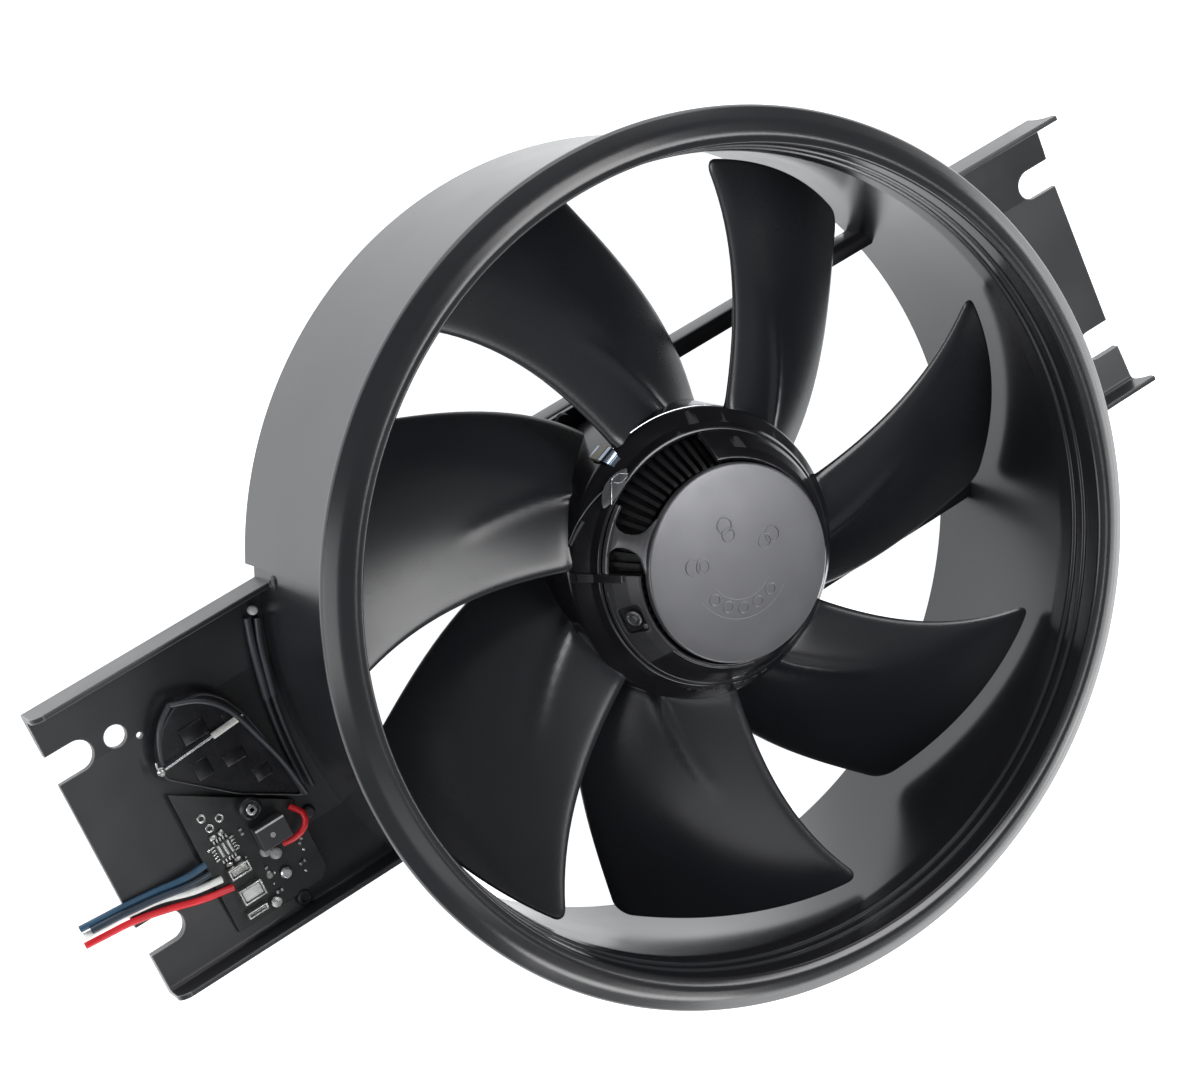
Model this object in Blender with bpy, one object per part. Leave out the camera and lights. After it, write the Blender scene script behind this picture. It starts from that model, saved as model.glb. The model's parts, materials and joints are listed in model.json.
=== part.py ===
"""Ducted axial fan, 12 inch class: a bell-mouthed duct on a channel frame, an outer-rotor
motor with seven sickle blades, and an open motor driver with flying leads on one arm.

Frame: X runs along the two arms, +Z is the fan's axis and points out of the bell mouth,
and the origin is on the axis in the plane of the duct's rear rim. Metres throughout.
"""

import math

import bmesh
import bpy
from mathutils import Matrix, Vector

# ---- driving dimensions -------------------------------------------------------------
GAP = 0.0003                    # clearance kept between touching solids

DUCT_DEPTH = 0.116              # rear rim to the front of the lip
LIP_R = 0.1705                  # outermost radius of the rolled lip
LIP_ROLL_W = 0.0135             # the flattened quarter roll on its outside
LIP_ROLL_H = 0.0070
THROAT_R = 0.1530               # narrowest inner radius
THROAT_Z = 0.094
REAR_INNER_R = 0.1560           # the wall opens slightly towards the rear
DUCT_WALL = 0.0022
DUCT_SEGMENTS = 64

ARM_REACH = 0.2475              # axis to the end of either arm
ARM_HALF_W = 0.0630             # outer faces of the channel's walls
ARM_WALL = 0.0022
ARM_BACK_Z = 0.0090
ARM_FLOOR_Z = 0.0115
ARM_SHELF_Z = 0.0130            # the raised strips beside the walls
ARM_SHELF_Y = 0.0335
ARM_TOP_Z = 0.0245
EAR_LENGTH = 0.0045             # how far the right arm's wall tips pass its floor
SLOT_Y = 0.0385                 # centre lines of the open mounting slots
SLOT_W = 0.0125
SLOT_DEPTH = 0.0175
ARM_JOIN_R = 0.1586             # the arms end on this cylinder round the duct

BAR_INNER_Y = 0.0558
BAR_OUTER_Y = 0.0626
BAR_BOTTOM_Z = 0.0114
BAR_TOP_Z = 0.0246

PLATE_Z = 0.0249                # motor plate, on top of the bars
PLATE_T = 0.0030
PLATE_R = 0.0480
PLATE_EAR_HALF_X = 0.0200
RIVET_X = 0.0120
RIVET_Y = 0.0592
RIVET_R = 0.0020

BASE_Z = PLATE_Z + PLATE_T + GAP
BASE_R = 0.0400
BASE_T = 0.0050
BASE_SCREW_RING_R = 0.0320
TUBE_OUTER_R = 0.0140
TUBE_TOP_Z = 0.0840
BEARING_OUTER_R = 0.0110
BEARING_BORE_R = 0.0043
BEARING_T = 0.0070
SHAFT_R = 0.0040

CORE_OUTER_R = 0.0395
CORE_Z = (0.0430, 0.0620)
CORE_TEETH = 12

CUP_OUTER_R = 0.0480            # steel rotor cup that the magnets sit in
CUP_WALL = 0.0020
CUP_Z = (0.0380, 0.0720)
MAGNET_INNER_R = 0.0403

HUB_R = 0.0570
HUB_Z = (0.0340, 0.0745)
HUB_SHOULDER = (0.0488, 0.0850)  # radius and height where the shoulder ends
DISC_R = 0.0380
DISC_Z = 0.1030

BLADES = 7
BLADE_TIP_R = 0.1500
BLADE_ROOT_R = HUB_R + 0.0005
BLADE_CORNER = 0.0090           # rounding of the tip corners
BLADE_THICKNESS = (0.0034, 0.0020)   # root and tip
BLADE_CAMBER = 0.0048
# Edges of the first blade, as a + b s + c s^2, with s from 0 at the root to 1 at the tip.
LEADING_ANGLE_DEG = (54.3, 3.4, 7.8)
TRAILING_ANGLE_DEG = (-1.3, 48.0, -15.2)
LEADING_Z = (0.0745, 0.0032, 0.0038)
TRAILING_Z = (0.0404, -0.0034, 0.0)

BOARD_Z = 0.0150                # top face of the driver board
BOARD_T = 0.0016
WELL_TOP_Z = 0.0180
LEAD_R = 0.0014
PHASE_R = 0.0011


# ---- scene and materials ------------------------------------------------------------
def clear_scene():
    for ob in list(bpy.data.objects):
        bpy.data.objects.remove(ob, do_unlink=True)


def material(name, color, roughness, metallic=0.0):
    mat = bpy.data.materials.get(name) or bpy.data.materials.new(name)
    mat.use_nodes = True
    shader = mat.node_tree.nodes["Principled BSDF"]
    shader.inputs["Base Color"].default_value = (*color, 1.0)
    shader.inputs["Roughness"].default_value = roughness
    shader.inputs["Metallic"].default_value = metallic
    return mat


def make_materials():
    return {
        "gloss_black": material("gloss_black", (0.022, 0.023, 0.026), 0.28),
        "blade_black": material("blade_black", (0.016, 0.017, 0.019), 0.42),
        "satin_grey": material("satin_grey", (0.17, 0.17, 0.18), 0.45, 0.6),
        "steel": material("steel", (0.55, 0.56, 0.58), 0.32, 1.0),
        "dark_metal": material("dark_metal", (0.06, 0.06, 0.065), 0.5, 0.7),
        "copper": material("copper", (0.62, 0.28, 0.12), 0.38, 1.0),
        "board": material("board", (0.03, 0.035, 0.035), 0.5),
        "black_part": material("black_part", (0.02, 0.02, 0.022), 0.55),
        "tin": material("tin", (0.62, 0.62, 0.60), 0.35, 1.0),
        "red_wire": material("red_wire", (0.75, 0.03, 0.04), 0.4),
        "white_wire": material("white_wire", (0.80, 0.81, 0.80), 0.45),
        "blue_wire": material("blue_wire", (0.03, 0.13, 0.24), 0.4),
        "black_wire": material("black_wire", (0.018, 0.018, 0.02), 0.4),
        "dark_wire": material("dark_wire", (0.02, 0.035, 0.06), 0.4),
    }


# ---- modelling helpers --------------------------------------------------------------
def empty(name, parent=None):
    ob = bpy.data.objects.new(name, None)
    bpy.context.collection.objects.link(ob)
    ob.parent = parent
    return ob


def finish_mesh(name, bm, mat, parent, smooth_deg=35):
    bmesh.ops.remove_doubles(bm, verts=bm.verts[:], dist=1e-6)
    bmesh.ops.recalc_face_normals(bm, faces=bm.faces[:])
    mesh = bpy.data.meshes.new(name)
    bm.to_mesh(mesh)
    bm.free()
    mesh.shade_smooth()
    mesh.set_sharp_from_angle(angle=math.radians(smooth_deg))
    ob = bpy.data.objects.new(name, mesh)
    bpy.context.collection.objects.link(ob)
    ob.parent = parent
    if mat:
        ob.data.materials.append(mat)
    return ob


def arc(cx, cy, radius, start_deg, end_deg, steps):
    """Points on an arc, both ends included."""
    points = []
    for i in range(steps + 1):
        t = math.radians(start_deg + (end_deg - start_deg) * i / steps)
        points.append((cx + radius * math.cos(t), cy + radius * math.sin(t)))
    return points


def turned(name, profile, mat, parent, segments=48, start_deg=0.0, sweep_deg=360.0):
    """Spin a closed outline of (radius, z) about Z; a part turn gets flat end faces."""
    bm = bmesh.new()
    verts = [bm.verts.new((r, 0, z)) for r, z in profile]
    face = bm.faces.new(verts)
    bmesh.ops.rotate(bm, verts=bm.verts, cent=(0, 0, 0),
                     matrix=Matrix.Rotation(math.radians(start_deg), 3, "Z"))
    whole = sweep_deg >= 360.0
    steps = segments if whole else max(3, round(segments * sweep_deg / 360.0))
    geom = [face]
    if whole:
        geom = face.edges[:]
        bmesh.ops.delete(bm, geom=[face], context="FACES_ONLY")
    bmesh.ops.spin(bm, geom=geom, cent=(0, 0, 0), axis=(0, 0, 1), steps=steps,
                   angle=math.radians(sweep_deg), use_merge=whole)
    return finish_mesh(name, bm, mat, parent)


def prism(name, outline, z0, z1, mat, parent):
    """Extrude a closed XY outline from z0 to z1."""
    bm = bmesh.new()
    face = bm.faces.new([bm.verts.new((x, y, z0)) for x, y in outline])
    new = bmesh.ops.extrude_face_region(bm, geom=[face])["geom"]
    bmesh.ops.translate(bm, vec=(0, 0, z1 - z0),
                        verts=[v for v in new if isinstance(v, bmesh.types.BMVert)])
    return finish_mesh(name, bm, mat, parent)


def block(name, low, high, mat, parent, bevel=0.0):
    """A box between two corners, with its edges bevelled."""
    bm = bmesh.new()
    bmesh.ops.create_cube(bm, size=1.0)
    size = [h - l for l, h in zip(low, high)]
    middle = [(h + l) / 2 for l, h in zip(low, high)]
    bmesh.ops.scale(bm, vec=size, verts=bm.verts)
    bmesh.ops.translate(bm, vec=middle, verts=bm.verts)
    if bevel:
        bmesh.ops.bevel(bm, geom=bm.edges[:], offset=bevel, segments=1, affect="EDGES")
    return finish_mesh(name, bm, mat, parent)


def cutter(ob):
    ob.hide_render = True
    ob.display_type = "WIRE"
    return ob


def cut(ob, tool, operation="DIFFERENCE"):
    mod = ob.modifiers.new(tool.name, "BOOLEAN")
    mod.operation = operation
    mod.object = tool
    mod.solver = "EXACT"
    return ob


def round_cutter(name, x, y, radius, z0, z1, steps=16):
    points = arc(x, y, radius, 0, 360, steps)[:-1]
    return cutter(prism(name, points, z0, z1, None, None))


def quadratic(coefficients, s):
    a, b, c = coefficients
    return a + b * s + c * s * s


def catmull(points, step):
    """Points every `step` along a smooth curve through the route's own points."""
    p = [Vector(q) for q in points]
    p = [2 * p[0] - p[1]] + p + [2 * p[-1] - p[-2]]
    dense = []
    for i in range(1, len(p) - 2):
        a, b, c, d = p[i - 1:i + 3]
        for k in range(24):
            t = k / 24
            dense.append(0.5 * (2 * b + (c - a) * t + (2 * a - 5 * b + 4 * c - d) * t ** 2
                                + (3 * b - 3 * c + d - a) * t ** 3))
    dense.append(p[-2])
    length = sum((b - a).length for a, b in zip(dense, dense[1:]))
    count = max(2, round(length / step))
    spaced, run, target = [dense[0]], 0.0, length / count
    for a, b in zip(dense, dense[1:]):
        span = (b - a).length
        while run + span >= target * len(spaced) and len(spaced) < count:
            spaced.append(a.lerp(b, (target * len(spaced) - run) / span))
        run += span
    return spaced + [dense[-1]]


def wire(name, route, radius, mat, parent):
    """A round wire along a route, as a bevelled curve with closed ends."""
    curve = bpy.data.curves.new(name, "CURVE")
    curve.dimensions = "3D"
    curve.bevel_depth = radius
    curve.bevel_resolution = 2
    curve.use_fill_caps = True
    points = catmull(route, radius * 5)
    spline = curve.splines.new("POLY")
    spline.points.add(len(points) - 1)
    for target, point in zip(spline.points, points):
        target.co = (*point, 1.0)
    ob = bpy.data.objects.new(name, curve)
    bpy.context.collection.objects.link(ob)
    ob.parent = parent
    ob.data.materials.append(mat)
    return ob


# ---- duct and frame -----------------------------------------------------------------
def duct_outer_r(z):
    """Outer radius of the straight wall, which narrows slightly towards the lip."""
    rear, front = REAR_INNER_R + DUCT_WALL, THROAT_R + DUCT_WALL + 0.0008
    return rear + (front - rear) * z / THROAT_Z


def shroud_profile():
    """Section of the straight wall, up the inside from the rear rim and down the outside."""
    return [(REAR_INNER_R + 0.0008, 0.0), (REAR_INNER_R, 0.0012), (THROAT_R, THROAT_Z),
            (duct_outer_r(THROAT_Z), THROAT_Z), (duct_outer_r(0), 0.0)]


def mouth_profile():
    """Section of the bell mouth: a flare with two small steps, a flattened roll, and its underside."""
    low = THROAT_Z + GAP
    mouth = [(THROAT_R, low), (THROAT_R + 0.0008, THROAT_Z + 0.0060), (THROAT_R + 0.0016, THROAT_Z + 0.0066),
             (THROAT_R + 0.0022, THROAT_Z + 0.0118), (THROAT_R + 0.0030, THROAT_Z + 0.0124),
             (THROAT_R + 0.0034, THROAT_Z + 0.0208)]
    roll = [(LIP_R - LIP_ROLL_W * (1 - r), DUCT_DEPTH - LIP_ROLL_H * (1 - z)) for r, z in arc(0, 0, 1, 90, 0, 8)]
    underside = [(LIP_R - 0.0012, DUCT_DEPTH - 0.0082), (THROAT_R + 0.0085, DUCT_DEPTH - 0.0100),
                 (THROAT_R + 0.0058, THROAT_Z + 0.0050), (duct_outer_r(low), low)]
    return mouth + roll + underside


def make_duct(mats, root):
    turned("bell_mouth", mouth_profile(), mats["gloss_black"], root, DUCT_SEGMENTS)
    duct = turned("duct_shroud", shroud_profile(), mats["gloss_black"], root, DUCT_SEGMENTS)
    reach = ARM_REACH
    for side, x0, x1 in (("left", -reach, -0.12), ("right", 0.12, reach)):
        notch = block("skirt_notch_" + side, (x0, -ARM_HALF_W - 0.004, -0.01),
                      (x1, ARM_HALF_W + 0.004, ARM_BACK_Z - 0.0002), None, None)
        cut(duct, cutter(notch))


def channel_section():
    """Half of the arm's section in (y, z), from the middle of the back to the middle of the floor."""
    w, t = ARM_HALF_W, ARM_WALL
    return [(w, ARM_BACK_Z), (w, ARM_TOP_Z - 0.0008), (w - 0.0008, ARM_TOP_Z),
            (w - t, ARM_TOP_Z), (w - t, ARM_SHELF_Z + 0.0012), (w - t - 0.0012, ARM_SHELF_Z),
            (ARM_SHELF_Y + 0.0016, ARM_SHELF_Z), (ARM_SHELF_Y, ARM_FLOOR_Z)]


def make_arm(side, mats, root):
    """One channel arm, its slots open at the end. side is -1 for the left arm."""
    name = "left_arm_channel" if side < 0 else "right_arm_channel"
    half = channel_section()
    outline = half + [(-y, z) for y, z in reversed(half)]
    start, end = 0.130, ARM_REACH
    bm = bmesh.new()
    face = bm.faces.new([bm.verts.new((start * side, y, z)) for y, z in outline])
    new = bmesh.ops.extrude_face_region(bm, geom=[face])["geom"]
    bmesh.ops.translate(bm, vec=((end - start) * side, 0, 0),
                        verts=[v for v in new if isinstance(v, bmesh.types.BMVert)])
    arm = finish_mesh(name, bm, mats["gloss_black"], root)
    low, high = -0.01, 0.05
    duct_clear = round_cutter(name + "_duct_clear", 0, 0, ARM_JOIN_R, low, high, DUCT_SEGMENTS)
    cut(arm, duct_clear)
    floor_end = end if side < 0 else end - EAR_LENGTH
    for n, y in enumerate((SLOT_Y, -SLOT_Y)):
        r = SLOT_W / 2
        inner = floor_end - SLOT_DEPTH + r
        outline = [(x * side, yy) for x, yy in arc(inner, y, r, 90, 270, 8)]
        outline += [((end + 0.01) * side, y - r), ((end + 0.01) * side, y + r)]
        cut(arm, cutter(prism(f"{name}_slot_{n}", outline, low, high, None, None)))
    if side > 0:
        cut(arm, ear_cutter(name, end))
    else:
        cut(arm, round_cutter(name + "_hole", -0.2205, 0.0377, 0.0045, low, high))
        cut(arm, round_cutter(name + "_pin_hole", -0.2122, 0.0330, 0.0012, low, high, 8))
        corner = [(-end - 0.001, ARM_TOP_Z + 0.001), (-end + 0.0045, ARM_TOP_Z + 0.001),
                  (-end + 0.0040, ARM_TOP_Z), (-end - 0.001, ARM_TOP_Z - 0.0060)]
        cut(arm, across_cutter(name + "_corners", corner))


def ear_cutter(name, end):
    """Trims the floor's end square and leaves the wall tips with a hollow front edge."""
    floor_end = end - EAR_LENGTH
    radius = 0.0125
    centre = (floor_end + radius, ARM_FLOOR_Z + 0.0005)
    outline = [(floor_end, -0.01)] + arc(*centre, radius, 180, 100, 6)
    outline += [(end + 0.02, 0.05), (end + 0.02, -0.01)]
    return across_cutter(name + "_ears", outline)


def across_cutter(name, outline):
    """A cutter with an outline in XZ, running right across the arm."""
    bm = bmesh.new()
    face = bm.faces.new([bm.verts.new((x, -0.1, z)) for x, z in outline])
    new = bmesh.ops.extrude_face_region(bm, geom=[face])["geom"]
    bmesh.ops.translate(bm, vec=(0, 0.2, 0),
                        verts=[v for v in new if isinstance(v, bmesh.types.BMVert)])
    return cutter(finish_mesh(name, bm, None, None))


def make_crossbar(side, mats, root):
    """A bar across the duct's rear in line with the arms' walls, rounded on its outer side."""
    name = "upper_crossbar" if side > 0 else "lower_crossbar"
    y0, y1, z0, z1 = BAR_INNER_Y, BAR_OUTER_Y, BAR_BOTTOM_Z, BAR_TOP_Z
    r = 0.0024
    section = [(y0, z0), (y1, z0)] + arc(y1 - r, z1 - r, r, 0, 90, 3) + [(y0, z1)]
    bm = bmesh.new()
    face = bm.faces.new([bm.verts.new((-0.16, y * side, z)) for y, z in section])
    new = bmesh.ops.extrude_face_region(bm, geom=[face])["geom"]
    bmesh.ops.translate(bm, vec=(0.32, 0, 0),
                        verts=[v for v in new if isinstance(v, bmesh.types.BMVert)])
    bar = finish_mesh(name, bm, mats["gloss_black"], root)
    inside = round_cutter(name + "_duct_fit", 0, 0, REAR_INNER_R - 0.0011, 0, 0.05, DUCT_SEGMENTS)
    cut(bar, inside, "INTERSECT")
    for n, x in enumerate((-RIVET_X, RIVET_X)):
        cut(bar, round_cutter(f"{name}_rivet_hole_{n}", x, RIVET_Y * side, RIVET_R + GAP, 0, 0.05, 12))
    return bar


def make_motor_plate(mats, root):
    """Round plate on the two bars, with an ear over each bar."""
    ear_y = BAR_OUTER_Y - 0.0004
    corner = math.degrees(math.acos(PLATE_EAR_HALF_X / PLATE_R))
    outline = []
    for side in (1, -1):
        lo, hi = (180 - corner, 180 + corner) if side < 0 else (-corner, corner)
        round_side = arc(0, 0, PLATE_R, lo, hi, 14)
        ear = [(side * PLATE_EAR_HALF_X, side * ear_y), (-side * PLATE_EAR_HALF_X, side * ear_y)]
        outline += round_side + ear
    plate = prism("motor_mount_plate", outline, PLATE_Z, PLATE_Z + PLATE_T,
                  mats["gloss_black"], root)
    cut(plate, round_cutter("plate_centre_hole", 0, 0, 0.0160, 0, 0.05, 24))
    for n, (x, y) in enumerate(corners(RIVET_X, RIVET_Y)):
        cut(plate, round_cutter(f"plate_rivet_hole_{n}", x, y, RIVET_R + GAP, 0, 0.05, 12))
    for n, (x, y) in enumerate(base_screw_places()):
        cut(plate, round_cutter(f"plate_screw_hole_{n}", x, y, 0.0015 + GAP, 0, 0.05, 12))
    return plate


def corners(x, y):
    return [(x, y), (-x, y), (-x, -y), (x, -y)]


def base_screw_places():
    return arc(0, 0, BASE_SCREW_RING_R, 45, 315, 3)


def make_fasteners(mats, root):
    for n, (x, y) in enumerate(corners(RIVET_X, RIVET_Y)):
        rivet = turned(f"frame_rivet_{n + 1}",
                       [(0, 0.0160), (RIVET_R, 0.0160), (RIVET_R, PLATE_Z + PLATE_T + GAP),
                        (0.0038, PLATE_Z + PLATE_T + GAP), (0.0030, PLATE_Z + PLATE_T + 0.0018),
                        (0, PLATE_Z + PLATE_T + 0.0022)], mats["dark_metal"], root, 12)
        rivet.location = (x, y, 0)
    for n, (x, y) in enumerate(base_screw_places()):
        top = BASE_Z + BASE_T
        screw = turned(f"base_screw_{n + 1}",
                       [(0, PLATE_Z - 0.0010), (0.0015, PLATE_Z - 0.0010), (0.0015, top + GAP),
                        (0.0028, top + GAP), (0.0028, top + 0.0024), (0, top + 0.0024)],
                       mats["steel"], root, 12)
        screw.location = (x, y, 0)


# ---- motor --------------------------------------------------------------------------
def make_motor_base(mats, root):
    """Cast base with the bearing tube standing on it; each end of the tube seats a bearing."""
    bore, seat = 0.0060, BEARING_OUTER_R + GAP
    rear_seat, front_seat = BASE_Z + BEARING_T + 0.0006, TUBE_TOP_Z - BEARING_T - 0.0006
    profile = [(seat, BASE_Z), (BASE_R, BASE_Z), (BASE_R, BASE_Z + BASE_T - 0.0008),
               (BASE_R - 0.0008, BASE_Z + BASE_T), (TUBE_OUTER_R + 0.0030, BASE_Z + BASE_T),
               (TUBE_OUTER_R, BASE_Z + BASE_T + 0.0030), (TUBE_OUTER_R, TUBE_TOP_Z),
               (seat, TUBE_TOP_Z), (seat, front_seat), (bore, front_seat), (bore, rear_seat),
               (seat, rear_seat)]
    base = turned("motor_base", profile, mats["satin_grey"], root, 36)
    for n, (x, y) in enumerate(base_screw_places()):
        cut(base, round_cutter(f"base_screw_hole_{n}", x, y, 0.0015 + GAP, 0, 0.06, 12))
    return base


def make_bearing(name, z0, mats, parent):
    r0, r1, z1, dip = BEARING_BORE_R, BEARING_OUTER_R, z0 + BEARING_T, 0.0008
    profile = [(r0, z0), (r0 + 0.0014, z0), (r0 + 0.0014, z0 + dip), (r1 - 0.0014, z0 + dip),
               (r1 - 0.0014, z0), (r1, z0), (r1, z1), (r1 - 0.0014, z1), (r1 - 0.0014, z1 - dip),
               (r0 + 0.0014, z1 - dip), (r0 + 0.0014, z1), (r0, z1)]
    return turned(name, profile, mats["steel"], parent, 24)


def make_stator(mats, root):
    """Laminated core with T-shaped teeth, and the end turns of its coils front and rear."""
    z0, z1 = CORE_Z
    pitch = 360 / CORE_TEETH
    back_r, shoe_r, r = 0.0200, CORE_OUTER_R - 0.0030, CORE_OUTER_R
    outline = []
    for n in range(CORE_TEETH):
        mid = n * pitch
        for radius, offset in ((back_r, -9.5), (shoe_r, -5.5), (shoe_r, -12.0), (r, -12.6),
                               (r, 0.0), (r, 12.6), (shoe_r, 12.0), (shoe_r, 5.5), (back_r, 9.5)):
            t = math.radians(mid + offset)
            outline.append((radius * math.cos(t), radius * math.sin(t)))
    core = prism("stator_core", outline, z0, z1, mats["dark_metal"], root)
    cut(core, round_cutter("core_bore", 0, 0, TUBE_OUTER_R + 0.0005, z0 - 0.01, z1 + 0.01, 24))
    for name, low, high in (("stator_coils_front", z1 + GAP, z1 + 0.0065),
                            ("stator_coils_rear", z0 - 0.0060, z0 - GAP)):
        lobes = []
        for n in range(CORE_TEETH):
            lobes += [(0.0330 * math.cos(math.radians(n * pitch + a)),
                       0.0330 * math.sin(math.radians(n * pitch + a))) for a in (-9, 0, 9)]
            notch = math.radians((n + 0.5) * pitch)
            lobes.append((0.0270 * math.cos(notch), 0.0270 * math.sin(notch)))
        coils = prism(name, lobes, low, high, mats["copper"], root)
        cut(coils, round_cutter(name + "_bore", 0, 0, 0.0185, low - 0.01, high + 0.01, 24))


def make_rotor_core(mats, rotor):
    """Shaft, steel cup, magnet ring, and the ribbed ring seen through the end bell's windows."""
    turned("motor_shaft", [(0, BASE_Z - 0.0010), (SHAFT_R, BASE_Z - 0.0010), (SHAFT_R, 0.0915),
                           (SHAFT_R - 0.0006, 0.0920), (0, 0.0920)], mats["steel"], rotor, 20)
    turned("shaft_circlip", [(SHAFT_R + GAP, 0.0885), (0.0062, 0.0885), (0.0062, 0.0895),
                             (SHAFT_R + GAP, 0.0895)], mats["steel"], rotor, 16, 15, 330)
    r, t = CUP_OUTER_R, CUP_WALL
    z0, z1 = CUP_Z
    turned("rotor_cup", [(r - t, z0), (r, z0), (r, z1 - 0.0015), (r - 0.0015, z1),
                         (TUBE_OUTER_R + 0.0024, z1), (TUBE_OUTER_R + 0.0024, z1 - t), (r - t, z1 - t)],
           mats["dark_metal"], rotor, 48)
    turned("rotor_magnet_ring", [(MAGNET_INNER_R, z0 + 0.002), (r - t - GAP, z0 + 0.002),
                                 (r - t - GAP, z1 - 0.008), (MAGNET_INNER_R, z1 - 0.008)],
           mats["dark_metal"], rotor, 42)
    make_rib_ring(mats, rotor)


def make_rib_ring(mats, rotor):
    """A cone of close radial ribs between the cup and the end bell, closed on the shaft."""
    low_z, plate_z, bore = CUP_Z[1] + GAP, TUBE_TOP_Z + 0.0006, SHAFT_R + GAP
    cone = [(0.0166, low_z), (0.0472, low_z), (0.0468, 0.0780), (0.0350, 0.0925),
            (0.0350, 0.0880), (bore, 0.0880), (bore, plate_z), (0.0166, plate_z)]
    ring = turned("rib_ring", cone, mats["dark_metal"], rotor, 48)
    ribs, width = 32, 0.0016
    bm = bmesh.new()
    for n in range(ribs):
        turn = Matrix.Rotation(math.radians(n * 360 / ribs), 4, "Z")
        corners_rz = ((0.0335, 0.0890), (0.0455, 0.0755), (0.0464, 0.0805), (0.0358, 0.0952))
        sides = []
        for y in (-width / 2, width / 2):
            sides.append([bm.verts.new(turn @ Vector((r, y, z))) for r, z in corners_rz])
        bm.faces.new(sides[0])
        bm.faces.new(reversed(sides[1]))
        for k in range(4):
            bm.faces.new((sides[0][k], sides[1][k], sides[1][(k + 1) % 4], sides[0][(k + 1) % 4]))
    cut(ring, cutter(finish_mesh("rib_ring_ribs", bm, None, None)), "UNION")
    return ring


# ---- impeller -----------------------------------------------------------------------
def make_hub(mats, rotor):
    """Hub moulding: a skirt that carries the blades, a sleeve round the cup, and a shoulder."""
    skirt, sleeve = HUB_R - 0.0025, CUP_OUTER_R + GAP
    z0, z1 = HUB_Z
    end_r, end_z = HUB_SHOULDER
    web_z = 0.0700
    shoulder = [(HUB_R, z1 - 0.0030), (HUB_R - 0.0007, z1 - 0.0008), (HUB_R - 0.0026, z1 + 0.0006),
                (HUB_R - 0.0050, z1 + 0.0034), (end_r + 0.0008, end_z - 0.0008), (end_r, end_z)]
    profile = [(skirt, z0), (HUB_R, z0)] + shoulder + [
        (end_r - 0.0010, end_z - 0.0004), (end_r - 0.0010, end_z - 0.0100),
        (sleeve, web_z + 0.0020), (sleeve, z0 + 0.006), (sleeve + 0.0018, z0 + 0.006),
        (sleeve + 0.0018, web_z), (skirt, web_z)]
    return turned("impeller_hub", profile, mats["gloss_black"], rotor, 48)


def blade_point(u, s, side):
    """A point on a blade: u 0..1 from leading to trailing edge, s 0..1 from root to tip."""
    radius = BLADE_ROOT_R + (BLADE_TIP_R - BLADE_ROOT_R) * s
    lead, trail = quadratic(LEADING_ANGLE_DEG, s), quadratic(TRAILING_ANGLE_DEG, s)
    chord = math.radians(lead - trail) * radius
    from_tip = BLADE_TIP_R - radius
    inset = 0.0
    if from_tip < BLADE_CORNER:
        k = 1 - from_tip / BLADE_CORNER
        inset = BLADE_CORNER * (1 - math.sqrt(max(0.0, 1 - k * k))) / chord
    u = inset + u * (1 - 2 * inset)
    angle = math.radians(lead + (trail - lead) * u)
    z = quadratic(LEADING_Z, s) * (1 - u) + quadratic(TRAILING_Z, s) * u
    z += BLADE_CAMBER * 4 * u * (1 - u)
    root_t, tip_t = BLADE_THICKNESS
    thickness = (root_t + (tip_t - root_t) * s) * (0.42 + 0.58 * math.sqrt(max(0.0, 4 * u * (1 - u))))
    angle -= side * thickness * 0.25 / radius
    z += side * thickness * 0.45
    return Vector((radius * math.cos(angle), radius * math.sin(angle), z))


def make_blade(number, mats, rotor):
    """One cambered sickle blade as a closed grid: front and rear skins joined round the rim."""
    chord_steps, span = 6, [0, 0.2, 0.4, 0.6, 0.78, 0.9, 0.945, 0.975, 1.0]
    bm = bmesh.new()
    skins = {}
    for side in (1, -1):
        skins[side] = [[bm.verts.new(blade_point(i / chord_steps, s, side))
                        for i in range(chord_steps + 1)] for s in span]
        for a, b in zip(skins[side], skins[side][1:]):
            for i in range(chord_steps):
                quad = (a[i], a[i + 1], b[i + 1], b[i])
                bm.faces.new(quad if side > 0 else quad[::-1])
    rims = []
    for side in (1, -1):
        rows = skins[side]
        rim = rows[0] + [row[-1] for row in rows[1:]] + rows[-1][-2::-1] + [row[0] for row in rows[-2:0:-1]]
        rims.append(rim)
    for k in range(len(rims[0])):
        n = (k + 1) % len(rims[0])
        bm.faces.new((rims[0][k], rims[1][k], rims[1][n], rims[0][n]))
    blade = finish_mesh(f"fan_blade_{number + 1}", bm, mats["blade_black"], rotor, 50)
    blade.rotation_euler.z = -number * 2 * math.pi / BLADES
    return blade


def dome_profile(lift=0.0):
    """Outer line of the end bell from its rim to the disc, in (radius, z)."""
    return [(0.0486 + lift, 0.0858 + lift * 0.6), (0.0466 + lift, 0.0892 + lift * 0.6),
            (0.0430 + lift * 0.9, 0.0945 + lift * 0.7), (0.0400 + lift * 0.8, 0.0985 + lift)]


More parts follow.
